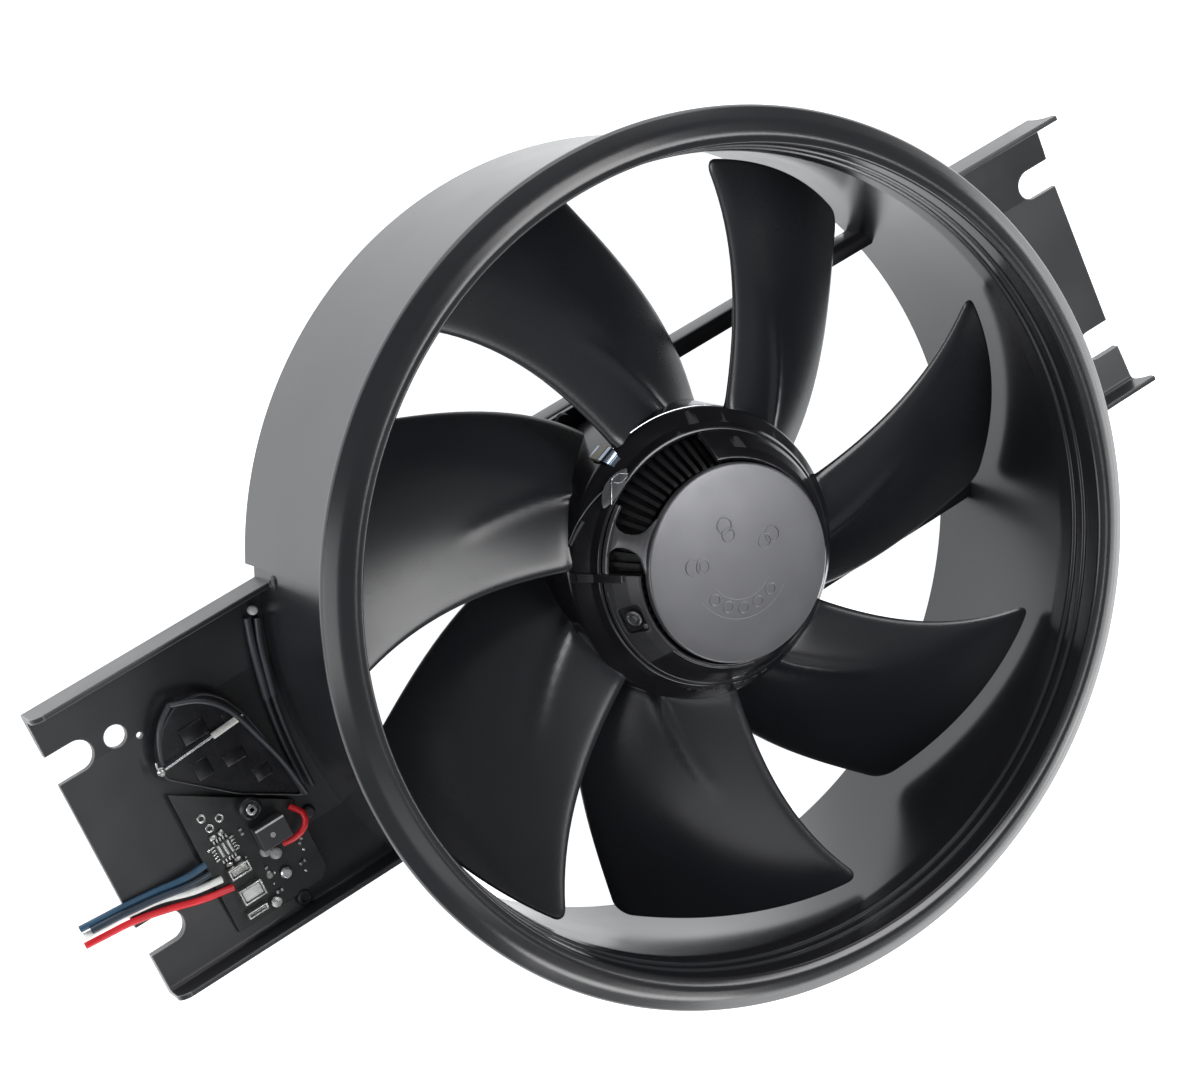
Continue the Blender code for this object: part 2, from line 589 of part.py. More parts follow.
def make_end_bell(mats, rotor):
    """Black dome sector with a screw pocket, and the grey disc with its one flared spoke."""
    outer = dome_profile()
    inner = [(r - 0.0016, z - 0.0012) for r, z in reversed(outer)]
    dome = turned("hub_dome", outer + inner, mats["gloss_black"], rotor, 56, 158, 276)
    pocket = block("dome_pocket", (-0.0057, -0.0059, -0.0100), (0.0057, 0.0059, 0.0100), None, None)
    pocket.matrix_world = pocket_frame(0.0)
    cut(dome, cutter(pocket))
    floor = block("screw_pocket", (-0.0054, -0.0056, -0.0026), (0.0054, 0.0056, -0.0016),
                  mats["gloss_black"], rotor, 0.0003)
    floor.matrix_world = pocket_frame(0.0)
    screw = turned("hub_screw", [(0, -0.0013), (0.0026, -0.0013), (0.0026, 0.0000),
                                 (0.0020, 0.0006), (0, 0.0006)], mats["dark_metal"], rotor, 14)
    screw.matrix_world = pocket_frame(0.0)
    make_disc(mats, rotor)


def pocket_frame(depth):
    """Where the square pocket sits: local Z stands out of the dome's slope, near 181 degrees."""
    turn = Matrix.Rotation(math.radians(181), 4, "Z")
    tilt = Matrix.Rotation(math.radians(56), 4, "Y")
    return turn @ Matrix.Translation((0.0440, 0, 0.0925 + depth)) @ tilt


def make_disc(mats, rotor):
    """The satin disc, a shallow cup, with a spoke that flares at both ends into a thin rim strip."""
    z = DISC_Z
    disc = turned("hub_cap_disc",
                  [(0, z - 0.0026), (DISC_R - 0.0016, z - 0.0026), (DISC_R - 0.0008, z - 0.0036),
                   (DISC_R, z - 0.0030), (DISC_R, z - 0.0008), (DISC_R - 0.0008, z), (0, z)],
                  mats["satin_grey"], rotor, 56)
    strip = turned("cap_rim_strip", [(0.0474, 0.0856), (0.0486, 0.0858), (0.0478, 0.0874),
                                     (0.0466, 0.0870)], None, None, 90, 127, 30.4)
    spoke_z = Matrix.Rotation(math.radians(141), 4, "Z")
    bm = bmesh.new()
    stations = [(0.0372, 0.0082, 0.1010), (0.0392, 0.0050, 0.0994), (0.0416, 0.0030, 0.0964),
                (0.0444, 0.0026, 0.0926), (0.0462, 0.0036, 0.0896), (0.0474, 0.0068, 0.0872)]
    rows = []
    for r, half, top in stations:
        rows.append([bm.verts.new(spoke_z @ Vector((r, y, zz)))
                     for y, zz in ((-half, top), (half, top), (half, top - 0.0016), (-half, top - 0.0016))])
    for a, b in zip(rows, rows[1:]):
        for k in range(4):
            bm.faces.new((a[k], b[k], b[(k + 1) % 4], a[(k + 1) % 4]))
    bm.faces.new(rows[0])
    bm.faces.new(reversed(rows[-1]))
    spoke = finish_mesh("cap_spoke", bm, None, None)
    cut(disc, cutter(spoke), "UNION")
    cut(disc, cutter(strip), "UNION")
    return disc


def make_balance_clip(mats, rotor):
    """Spring clip over the hub's rim: a pad outside the skirt, a bridge, and a leaf on the shoulder."""
    width = 0.0070
    line = [(HUB_R + GAP + 0.0008, 0.0640), (HUB_R + GAP + 0.0008, 0.0738), (HUB_R - 0.0008, 0.0772),
            (HUB_R - 0.0045, 0.0802), (0.0502, 0.0868), (0.0500, 0.0900)]
    thick = 0.0008
    bm = bmesh.new()
    rows = []
    for n, (r, z) in enumerate(line):
        before, after = line[max(n - 1, 0)], line[min(n + 1, len(line) - 1)]
        along = Vector((after[0] - before[0], 0, after[1] - before[1])).normalized()
        out = Vector((along.z, 0, -along.x)) * thick / 2
        half = width / 2 * (1 - 0.10 * n)
        centre = Vector((r + thick / 2, 0, z))
        rows.append([bm.verts.new(centre + out + Vector((0, half, 0))),
                     bm.verts.new(centre + out - Vector((0, half, 0))),
                     bm.verts.new(centre - out - Vector((0, half, 0))),
                     bm.verts.new(centre - out + Vector((0, half, 0)))])
    for a, b in zip(rows, rows[1:]):
        for k in range(4):
            bm.faces.new((a[k], b[k], b[(k + 1) % 4], a[(k + 1) % 4]))
    bm.faces.new(rows[0])
    bm.faces.new(reversed(rows[-1]))
    clip = finish_mesh("balance_clip", bm, mats["steel"], rotor)
    clip.rotation_euler.z = math.radians(112)
    return clip


# ---- driver board and wiring on the left arm ------------------------------------------
def well_outline(inset=0.0):
    """D shape of the potted well: an arch over a flat side, in the arm's plane."""
    shape = [(-0.2130, 0.0150), (-0.1900, -0.0060), (-0.1675, -0.0205), (-0.1692, -0.0040),
             (-0.1710, 0.0080), (-0.1740, 0.0210), (-0.1785, 0.0310), (-0.1850, 0.0375),
             (-0.1960, 0.0390), (-0.2050, 0.0330), (-0.2105, 0.0250)]
    centre = Vector((-0.1880, 0.0120))
    return [tuple(centre + (Vector(q) - centre) * (1 - inset / 0.025)) for q in shape]


def make_driver(mats, root):
    """Driver board on the arm's floor, with the potted well above it and its parts."""
    board_low = BOARD_Z - BOARD_T
    board = [(-0.2140, -0.0550), (-0.1760, -0.0550), (-0.1720, -0.0510), (-0.1720, -0.0200),
             (-0.2140, 0.0080)]
    prism("controller_board", board, board_low, BOARD_Z, mats["board"], root)
    well = prism("potting_well", well_outline(), ARM_FLOOR_Z + GAP, WELL_TOP_Z,
                 mats["black_part"], root)
    dish = prism("well_dish", well_outline(0.0020), WELL_TOP_Z - 0.0016, WELL_TOP_Z + 0.01, None, None)
    cut(well, cutter(dish))
    relief = prism("well_board_relief", grown(board, 0.0006), 0.0, BOARD_Z + 0.0006, None, None)
    cut(well, cutter(relief))
    shelf = block("well_shelf_relief", (-0.25, ARM_SHELF_Y - 0.0005, 0), (-0.10, 0.1, ARM_SHELF_Z + GAP),
                  None, None)
    cut(well, cutter(shelf))
    turned_at("round_capacitor", (-0.1895, -0.0135),
              [(0, 0), (0.0046, 0), (0.0046, 0.0046), (0.0038, 0.0054), (0, 0.0054)], mats["black_part"], root)
    block("relay_block", (-0.1925, -0.0300, BOARD_Z + GAP), (-0.1795, -0.0205, BOARD_Z + 0.0075),
          mats["black_part"], root, 0.0005)
    block("driver_chip", (-0.2090, -0.0265, BOARD_Z + GAP), (-0.1995, -0.0175, BOARD_Z + 0.0020),
          mats["black_part"], root, 0.0002)
    for n, (x, y, w, h) in enumerate(((-0.2035, -0.0320, 0.0090, 0.0046), (-0.2030, -0.0425, 0.0100, 0.0070),
                                      (-0.2045, -0.0500, 0.0090, 0.0028))):
        block(f"terminal_clip_{n + 1}", (x - w / 2, y - h / 2, BOARD_Z + GAP),
              (x + w / 2, y + h / 2, BOARD_Z + 0.0042), mats["tin"], root, 0.0005)
    head = [(0, 0), (0.0026, 0), (0.0026, 0.0012), (0.0018, 0.0019), (0, 0.0019)]
    turned_at("board_screw_1", (-0.1875, -0.0440), head, mats["steel"], root)
    turned_at("board_screw_2", (-0.1680, -0.0290), head, mats["steel"], root, ARM_FLOOR_Z + GAP)
    fuse = turned("thermal_fuse", [(0, 0), (0.0011, 0), (0.0011, 0.0130), (0.0005, 0.0135), (0.0005, 0.0372),
                                   (0, 0.0372)], mats["tin"], root, 12)
    fuse.rotation_euler.y = math.radians(-90)
    fuse.location = (-0.1735, 0.0182, WELL_TOP_Z + 0.0014)
    post = [(0, 0), (0.0010, 0), (0.0018, 0.0008), (0.0018, 0.0020), (0.0010, 0.0028), (0, 0.0028)]
    turned_at("fuse_post", (-0.2130, 0.0182), post, mats["tin"], root, WELL_TOP_Z + GAP)


def grown(points, by):
    """An outline moved outwards from its middle by roughly `by`."""
    cx = sum(p[0] for p in points) / len(points)
    cy = sum(p[1] for p in points) / len(points)
    return [(x + by * (1 if x > cx else -1), y + by * (1 if y > cy else -1)) for x, y in points]


def turned_at(name, place, profile, mat, parent, z0=BOARD_Z + GAP):
    ob = turned(name, [(r, z) for r, z in profile], mat, parent, 16)
    ob.location = (*place, z0)
    return ob


LEADS = {
    "lead_blue": ((-0.2140, -0.0232, 0.0168), (-0.2230, -0.0236, 0.0166), (-0.2350, -0.0227, 0.0142),
                  (-0.2475, -0.0215, 0.0133), (-0.2570, -0.0209, 0.0127), (-0.2662, -0.0205, 0.0118)),
    "lead_dark": ((-0.2140, -0.0272, 0.0168), (-0.2230, -0.0266, 0.0176), (-0.2350, -0.0246, 0.0168),
                  (-0.2475, -0.0232, 0.0160), (-0.2560, -0.0226, 0.0154), (-0.2630, -0.0223, 0.0149)),
    "lead_white": ((-0.2110, -0.0318, 0.0168), (-0.2230, -0.0298, 0.0166), (-0.2350, -0.0266, 0.0142),
                   (-0.2475, -0.0250, 0.0133), (-0.2570, -0.0243, 0.0127), (-0.2660, -0.0239, 0.0118)),
    "lead_red": ((-0.2085, -0.0370, 0.0168), (-0.2210, -0.0346, 0.0168), (-0.2350, -0.0311, 0.0144),
                 (-0.2475, -0.0286, 0.0133), (-0.2580, -0.0278, 0.0126), (-0.2676, -0.0273, 0.0118)),
}
MOTOR_WIRES = (
    ((-0.1525, 0.0500, 0.0146), (-0.1560, 0.0400, 0.0146), (-0.1602, 0.0200, 0.0140),
     (-0.1620, 0.0000, 0.0132), (-0.1622, -0.0200, 0.0132)),
    ((-0.1560, 0.0520, 0.0146), (-0.1592, 0.0400, 0.0146), (-0.1632, 0.0200, 0.0140),
     (-0.1650, 0.0000, 0.0132), (-0.1650, -0.0170, 0.0132)),
    ((-0.1990, 0.0400, 0.0196), (-0.1880, 0.0355, 0.0208), (-0.1800, 0.0270, 0.0224),
     (-0.1745, 0.0120, 0.0222), (-0.1700, -0.0030, 0.0208), (-0.1672, -0.0190, 0.0196)),
)


def make_wiring(mats, root):
    """Flying leads over the arm's floor, motor wires round the duct's foot, and a jumper."""
    for name, route in LEADS.items():
        wire(name, route, LEAD_R, mats[name.split("_")[1] + "_wire"], root)
    for n, route in enumerate(MOTOR_WIRES):
        wire(f"motor_wire_{n + 1}", route, PHASE_R, mats["black_wire"], root)
    wire("jumper_wire", [(-0.1748, -0.0212, 0.0166), (-0.1718, -0.0255, 0.0196), (-0.1740, -0.0300, 0.0204),
                         (-0.1788, -0.0323, 0.0190), (-0.1835, -0.0327, 0.0166)],
         LEAD_R * 0.9, mats["red_wire"], root)


def main():
    clear_scene()
    mats = make_materials()
    root = empty("housing")
    rotor = empty("rotor_axis")
    make_duct(mats, root)
    make_arm(-1, mats, root)
    make_arm(1, mats, root)
    make_crossbar(1, mats, root)
    make_crossbar(-1, mats, root)
    make_motor_plate(mats, root)
    make_fasteners(mats, root)
    make_motor_base(mats, root)
    make_bearing("rear_bearing", BASE_Z, mats, root)
    make_bearing("front_bearing", TUBE_TOP_Z - BEARING_T, mats, root)
    make_stator(mats, root)
    make_rotor_core(mats, rotor)
    make_hub(mats, rotor)
    for number in range(BLADES):
        make_blade(number, mats, rotor)
    make_end_bell(mats, rotor)
    make_balance_clip(mats, rotor)
    make_driver(mats, root)
    make_wiring(mats, root)


main()
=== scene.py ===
"""Looks for the ducted axial fan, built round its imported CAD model.

Every shape is in the model's own frame, in metres: X along the arms, +Z out of the bell mouth,
and the origin on the fan's axis in the plane of the duct's rear rim.
"""

import json
import math
import random

import bmesh
import bpy
from mathutils import Matrix, Vector


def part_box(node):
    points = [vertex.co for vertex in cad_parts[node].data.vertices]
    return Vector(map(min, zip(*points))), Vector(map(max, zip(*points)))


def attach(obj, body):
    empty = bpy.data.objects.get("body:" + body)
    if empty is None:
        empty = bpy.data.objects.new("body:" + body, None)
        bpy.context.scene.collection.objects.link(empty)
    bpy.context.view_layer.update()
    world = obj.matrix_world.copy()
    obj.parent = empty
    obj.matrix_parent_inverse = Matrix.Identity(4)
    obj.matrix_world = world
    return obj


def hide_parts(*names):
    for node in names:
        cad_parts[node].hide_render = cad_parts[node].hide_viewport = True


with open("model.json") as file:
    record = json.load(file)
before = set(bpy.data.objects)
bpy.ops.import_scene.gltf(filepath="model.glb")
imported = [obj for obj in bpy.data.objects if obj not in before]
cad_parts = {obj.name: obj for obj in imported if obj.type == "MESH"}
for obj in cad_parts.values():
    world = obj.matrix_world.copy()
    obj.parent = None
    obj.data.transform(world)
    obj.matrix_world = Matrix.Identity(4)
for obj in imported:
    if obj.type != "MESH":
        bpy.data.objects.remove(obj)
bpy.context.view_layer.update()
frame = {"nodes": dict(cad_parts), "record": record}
BODY_OF = {node: body for body, nodes in frame["record"]["behaviour"]["bodies"].items() for node in nodes}

# ---- sizes read from the CAD model --------------------------------------------------
LIP_R, _, DUCT_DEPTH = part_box("bell_mouth")[1]
HUB_LOW, HUB_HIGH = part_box("impeller_hub")
LEFT_LOW, LEFT_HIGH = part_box("left_arm_channel")
HUB_R, HUB_BASE_Z = HUB_HIGH.x, HUB_LOW.z
ARM_REACH, ARM_HALF_W = -LEFT_LOW.x, LEFT_HIGH.y
ARM_BACK_Z, ARM_TOP_Z = LEFT_LOW.z, LEFT_HIGH.z
BOARD_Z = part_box("controller_board")[1].z
DISC_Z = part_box("hub_cap_disc")[1].z

# ---- sizes shared with the CAD source -----------------------------------------------
THROAT_R, THROAT_Z = 0.1530, 0.094
REAR_INNER_R, DUCT_WALL = 0.1560, 0.0022
ARM_WALL, ARM_FLOOR_Z, ARM_SHELF_Z, ARM_SHELF_Y = 0.0022, 0.0115, 0.0130, 0.0335
EAR_LENGTH, SLOT_Y, SLOT_W, SLOT_DEPTH = 0.0045, 0.0385, 0.0125, 0.0175
BAR_INNER_Y, BAR_OUTER_Y, BAR_BOTTOM_Z, BAR_TOP_Z = 0.0558, 0.0626, 0.0114, 0.0246
BLADES, BLADE_TIP_R, BLADE_CORNER, BLADE_CAMBER = 7, 0.1500, 0.0055, 0.0048
ROOT_RIB = 0.0019
LEADING_ANGLE_DEG, TRAILING_ANGLE_DEG = (54.3, 3.4, 7.8), (-1.3, 48.0, -15.2)
LEADING_Z, TRAILING_Z = (0.0745, 0.0032, 0.0038), (0.0404, -0.0034, 0.0)
SHOULDER_R, SHOULDER_Z = 0.0488, 0.0850
DISC_R, DISC_CROWN = 0.0380, 0.0012
RIBS = 68
WELL_TOP_Z = 0.0180
LEAD_R, MOTOR_WIRE_R = 0.0014, 0.0011

# ---- camera and floor ---------------------------------------------------------------
CAMERA_AT = (-0.4191, 0.39653, 1.08088)
CAMERA_RIGHT = (0.80346, -0.39280, 0.44739)
CAMERA_UP = (0.49257, 0.86067, -0.12895)
CAMERA_BACK = (-0.33440, 0.32398, 0.88500)
CAMERA_LENS, SENSOR_WIDTH = 92.06, 36.0
FLOOR_HALF_WIDTH = 6.0


# ---- materials ----------------------------------------------------------------------
# Radius of the bevel that finds the sheet edges which get a painted highlight.
EDGE_HIGHLIGHT_RADIUS = 0.0011


def set_inputs(node, inputs):
    """Gives a shader node's inputs their values, or links them from other nodes' outputs."""
    for key, value in inputs.items():
        if isinstance(value, bpy.types.NodeSocket):
            node.id_data.links.new(value, node.inputs[key])
        else:
            node.inputs[key].default_value = value


def add_node(tree, kind, inputs, **settings):
    node = tree.nodes.new(kind)
    for name, value in settings.items():
        setattr(node, name, value)
    set_inputs(node, inputs)
    return node


def mixed(tree, factor, a, b):
    return add_node(tree, "ShaderNodeMix", {"Factor": factor, 6: a, 7: b}, data_type="RGBA").outputs[2]


def add_bump(tree, height, strength, depth):
    bump = add_node(tree, "ShaderNodeBump", {"Height": height, "Strength": strength, "Distance": depth})
    set_inputs(tree.nodes["Principled BSDF"], {"Normal": bump.outputs["Normal"]})


def look(name, color, roughness, metallic=0.0, grain=None, mottle=None, smudge=None, wear=None,
         edges=None, specular=0.5):
    """A procedural material. grain is (scale, depth) of a bump, mottle (scale, share) of colour change,
    smudge (scale, spread) of roughness change, wear (colour, share) of paler rounded parts, and edges
    (colour, share) of a painted highlight: paler sheet edges that stand in for reflected light."""
    mat = bpy.data.materials.new(name)
    mat.use_nodes = True
    tree = mat.node_tree
    surface = tree.nodes["Principled BSDF"]
    set_inputs(surface, {"Base Color": (*color, 1), "Roughness": roughness, "Metallic": metallic,
                         "Specular IOR Level": specular})
    place = tree.nodes.new("ShaderNodeTexCoord").outputs["Object"]

    def noise(scale, detail=3.0):
        inputs = {"Vector": place, "Scale": scale, "Detail": detail}
        return add_node(tree, "ShaderNodeTexNoise", inputs).outputs["Fac"]

    def mapped(value, low, high, start=0.3, end=0.7):
        inputs = {"Value": value, "From Min": start, "From Max": end, "To Min": low, "To Max": high}
        return add_node(tree, "ShaderNodeMapRange", inputs).outputs["Result"]

    base = (*color, 1)
    if mottle:
        scale, share = mottle
        dark = (*(c * (1 - share) for c in color), 1)
        pale = (*(min(1.0, c * (1 + share)) for c in color), 1)
        base = mixed(tree, mapped(noise(scale, 5.0), 0, 1), dark, pale)
    if wear:
        pale, share = wear
        rounding = tree.nodes.new("ShaderNodeNewGeometry").outputs["Pointiness"]
        base = mixed(tree, mapped(rounding, 0, share, 0.52, 0.60), base, (*pale, 1))
    # Painted highlight: sheet edges found by a bevel are made paler, standing in for the reflection of the
    # pale surroundings on them.
    if edges:
        pale, share = edges
        eased = add_node(tree, "ShaderNodeBevel", {"Radius": EDGE_HIGHLIGHT_RADIUS}, samples=6).outputs["Normal"]
        flat = tree.nodes.new("ShaderNodeNewGeometry").outputs["True Normal"]
        match = add_node(tree, "ShaderNodeVectorMath", {0: eased, 1: flat}, operation="DOT_PRODUCT")
        base = mixed(tree, mapped(match.outputs["Value"], share, 0, 0.72, 0.97), base, (*pale, 1))
    set_inputs(surface, {"Base Color": base})
    if smudge:
        scale, spread = smudge
        rough = mapped(noise(scale), roughness - spread, roughness + spread)
        set_inputs(surface, {"Roughness": rough})
    if grain:
        scale, depth = grain
        add_bump(tree, noise(scale, 2.0), 0.6, depth)
    return mat


def banded(mat, direction, scale, depth, dark):
    """Adds fine parallel lines to a material, as on laminations and wound wire."""
    tree = mat.node_tree
    surface = tree.nodes["Principled BSDF"]
    place = tree.nodes.new("ShaderNodeTexCoord").outputs["Object"]
    inputs = {"Vector": place, "Scale": scale, "Distortion": 0.4}
    wave = add_node(tree, "ShaderNodeTexWave", inputs, bands_direction=direction).outputs["Fac"]
    color = tuple(surface.inputs["Base Color"].default_value)
    groove = (*(c * dark for c in color[:3]), 1)
    set_inputs(surface, {"Base Color": mixed(tree, wave, groove, color)})
    add_bump(tree, wave, 0.8, depth)
    return mat


LACQUER = look("duct_lacquer", (0.0100, 0.0105, 0.0125), 0.24, grain=(900, 0.00002),
    mottle=(14, 0.12), smudge=(22, 0.03), wear=((0.06, 0.06, 0.065), 0.4), specular=0.60)
# The arm paint's paler sheet edges are a painted highlight of the pale surroundings.
ARM_PAINT = look("arm_paint", (0.0160, 0.0168, 0.0195), 0.33, grain=(1100, 0.00003),
    mottle=(30, 0.15), smudge=(30, 0.05), edges=((0.30, 0.30, 0.31), 0.85), specular=0.6)
HUB_GLOSS = look("hub_gloss", (0.010, 0.010, 0.012), 0.16, grain=(500, 0.00002),
    mottle=(60, 0.15), smudge=(60, 0.04), wear=((0.08, 0.08, 0.085), 0.6))
BLADE_BLACK = look("blade_moulding", (0.0110, 0.0115, 0.0140), 0.26, grain=(1400, 0.00002),
    mottle=(20, 0.12), smudge=(24, 0.03), wear=((0.05, 0.05, 0.055), 0.5))
CAP_GREY = look("cap_satin", (0.130, 0.130, 0.138), 0.36, metallic=0.7, grain=(2600, 0.00005),
    mottle=(45, 0.05), smudge=(60, 0.04), wear=((0.30, 0.30, 0.31), 0.5))
SHOULDER = look("shoulder_satin", (0.026, 0.026, 0.030), 0.40, grain=(900, 0.00004),
    mottle=(80, 0.15), smudge=(60, 0.05))
RIB_BLACK = look("rib_black", (0.0085, 0.0085, 0.0100), 0.52, grain=(900, 0.00006),
    mottle=(120, 0.25), specular=0.25)
SPRING_STEEL = look("spring_steel", (0.46, 0.47, 0.49), 0.24, metallic=1.0, grain=(1800, 0.00001),
    mottle=(160, 0.10), smudge=(200, 0.06))
BLUED_STEEL = look("blued_steel", (0.26, 0.31, 0.38), 0.20, metallic=1.0, grain=(1800, 0.00001),
    mottle=(160, 0.15), smudge=(200, 0.05))
LEAF_STEEL = look("leaf_steel", (0.13, 0.13, 0.14), 0.38, metallic=0.8, grain=(1500, 0.00002),
    mottle=(150, 0.15), smudge=(160, 0.06), wear=((0.45, 0.45, 0.46), 0.6))
TAB_TAN = look("clip_tab_tan", (0.085, 0.072, 0.054), 0.42, metallic=0.4, grain=(900, 0.00003),
    mottle=(220, 0.25), wear=((0.30, 0.27, 0.22), 0.6))
BRIGHT_STEEL = look("bright_steel", (0.58, 0.59, 0.61), 0.26, metallic=1.0, grain=(1500, 0.00001),
    mottle=(140, 0.08), smudge=(180, 0.06))
DARK_METAL = look("dark_metal", (0.05, 0.05, 0.055), 0.45, metallic=0.7, grain=(900, 0.00003),
    mottle=(90, 0.15), smudge=(70, 0.06))
CAST_GREY = look("cast_grey", (0.20, 0.20, 0.21), 0.5, metallic=0.6, grain=(700, 0.00010),
    mottle=(60, 0.12), smudge=(50, 0.06))
LAMINATION = banded(look("laminations", (0.14, 0.14, 0.15), 0.45, metallic=0.8),
    "Z", 320, 0.00006, 0.35)
COPPER = banded(look("wound_copper", (0.62, 0.27, 0.11), 0.34, metallic=1.0),
    "DIAGONAL", 260, 0.00020, 0.45)
BOARD = look("board_laminate", (0.021, 0.023, 0.024), 0.38, grain=(700, 0.00003), mottle=(130, 0.30),
    smudge=(120, 0.08))
BLACK_PART = look("black_component", (0.014, 0.014, 0.016), 0.36, grain=(1400, 0.00003),
    mottle=(160, 0.15), smudge=(120, 0.06), wear=((0.10, 0.10, 0.11), 0.6))
POTTING = look("potting", (0.006, 0.006, 0.008), 0.30, grain=(120, 0.00030), mottle=(90, 0.3),
    smudge=(70, 0.08))
TIN = look("tinned_metal", (0.58, 0.58, 0.57), 0.30, metallic=1.0, grain=(500, 0.00012),
    mottle=(300, 0.25), smudge=(240, 0.10))
SOLDER = look("solder", (0.62, 0.62, 0.60), 0.24, metallic=1.0, grain=(380, 0.00020),
    mottle=(260, 0.2))
PRINT_WHITE = look("print_white", (0.62, 0.63, 0.62), 0.5, grain=(900, 0.00002),
    mottle=(300, 0.15))
CERAMIC = look("ceramic_white", (0.74, 0.73, 0.70), 0.35, grain=(700, 0.00002),
    mottle=(200, 0.06))


def sleeve(name, color):
    return look(name, color, 0.36, grain=(700, 0.00004), mottle=(120, 0.14), smudge=(90, 0.06))


RED = sleeve("red_sleeve", (0.66, 0.012, 0.022))
WHITE = sleeve("white_sleeve", (0.78, 0.80, 0.78))
BLUE = sleeve("blue_sleeve", (0.020, 0.066, 0.120))
DARK = sleeve("dark_sleeve", (0.010, 0.022, 0.040))
BLACK = sleeve("black_sleeve", (0.034, 0.036, 0.043))
BRAID = sleeve("braided_sleeve", (0.045, 0.050, 0.060))
GREY_SEAL = look("grey_sealant", (0.30, 0.31, 0.31), 0.30, grain=(500, 0.00015), mottle=(240, 0.3),
    smudge=(200, 0.08))


# ---- mesh helpers -------------------------------------------------------------------
SOFTENED_SMOOTH_DEG, JOINED_SMOOTH_DEG = 50, 40
FLAT_FACE_WEIGHT = 70


def shade(mesh, smooth_deg):
    mesh.shade_smooth()
    mesh.set_sharp_from_angle(angle=math.radians(smooth_deg))


def loose(name, bm, smooth_deg=35):
    """A mesh object in the scene that isn't yet a piece, such as a cutter."""
    bmesh.ops.remove_doubles(bm, verts=bm.verts[:], dist=1e-7)
    bmesh.ops.recalc_face_normals(bm, faces=bm.faces[:])
    mesh = bpy.data.meshes.new(name)
    bm.to_mesh(mesh)
    bm.free()
    shade(mesh, smooth_deg)
    ob = bpy.data.objects.new(name, mesh)
    bpy.context.collection.objects.link(ob)
    return ob


def piece(ob, mat, body, *replaced):
    """Gives an object its material and body, and hides the CAD nodes that it stands for."""
    ob.data.materials.clear()
    ob.data.materials.append(mat)
    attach(ob, body)
    if replaced:
        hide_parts(*replaced)
    return ob


def evaluated_mesh(ob):
    bpy.context.view_layer.update()
    return bpy.data.meshes.new_from_object(ob.evaluated_get(bpy.context.evaluated_depsgraph_get()))


def settle(ob, smooth_deg=35):
    """Applies the object's modifiers to its mesh."""
    mesh = evaluated_mesh(ob)
    ob.modifiers.clear()
    ob.data = mesh
    shade(mesh, smooth_deg)
    return ob


def boolean(ob, tool, operation="DIFFERENCE"):
    mod = ob.modifiers.new("cut", "BOOLEAN")
    mod.operation = operation
    mod.object = tool
    mod.solver = "EXACT"
    settle(ob)
    bpy.data.objects.remove(tool)
    return ob


def soften(ob, width, segments=2, angle_deg=32):
    """Rounds the sharp edges of a mesh by a bevel, and leans its shading on the flat faces."""
    bm = bmesh.new()
    bm.from_mesh(ob.data)
    bmesh.ops.remove_doubles(bm, verts=bm.verts[:], dist=2e-6)
    bmesh.ops.dissolve_limit(bm, angle_limit=math.radians(1.5), verts=bm.verts[:], edges=bm.edges[:])
    bm.to_mesh(ob.data)
    bm.free()
    mod = ob.modifiers.new("bevel", "BEVEL")
    mod.width = width
    mod.segments = segments
    mod.limit_method = "ANGLE"
    mod.angle_limit = math.radians(angle_deg)
    mod.use_clamp_overlap = True
    settle(ob, SOFTENED_SMOOTH_DEG)
    flat = ob.modifiers.new("flat_faces", "WEIGHTED_NORMAL")
    flat.keep_sharp = True
    flat.weight = FLAT_FACE_WEIGHT
    return ob


def arc(cx, cy, radius, start_deg, end_deg, steps):
    points = []
    for i in range(steps + 1):
        t = math.radians(start_deg + (end_deg - start_deg) * i / steps)
        points.append((cx + radius * math.cos(t), cy + radius * math.sin(t)))
    return points


def rounded(corners, steps):
    """An outline from (x, y, radius) corners, each rounded by its own radius."""
    count = len(corners)
    points = []
    for i, (x, y, radius) in enumerate(corners):
        here = Vector((x, y))
        if radius <= 0:
            points.append((x, y))
            continue
        before = Vector(corners[i - 1][:2]) - here
        after = Vector(corners[(i + 1) % count][:2]) - here
        half = before.angle(after) / 2
        if half > math.radians(89):
            points.append((x, y))
            continue
        reach = min(radius / math.tan(half), before.length * 0.49, after.length * 0.49)
        start, end = here + before.normalized() * reach, here + after.normalized() * reach
        for k in range(steps + 1):
            t = k / steps
            p = start * (1 - t) ** 2 + here * 2 * t * (1 - t) + end * t ** 2
            points.append((p.x, p.y))
    return points


def lathe(name, outline, segments, start_deg=0.0, sweep_deg=360.0, smooth_deg=35):
    """Spins a closed (radius, z) outline about the fan's axis."""
    bm = bmesh.new()
    whole = sweep_deg >= 360
    steps = segments if whole else max(3, round(segments * sweep_deg / 360))
    rings = []
    for i in range(steps if whole else steps + 1):
        t = math.radians(start_deg + sweep_deg * i / steps)
        rings.append([bm.verts.new((r * math.cos(t), r * math.sin(t), z)) for r, z in outline])
    count = len(outline)
    for i in range(steps):
        a, b = rings[i], rings[(i + 1) % len(rings)]
        for k in range(count):
            quad = (a[k], b[k], b[(k + 1) % count], a[(k + 1) % count])
            if len({tuple(v.co) for v in quad}) > 2:
                bm.faces.new(quad)
    if not whole:
        bm.faces.new(rings[0])
        bm.faces.new(rings[-1][::-1])
    return loose(name, bm, smooth_deg)


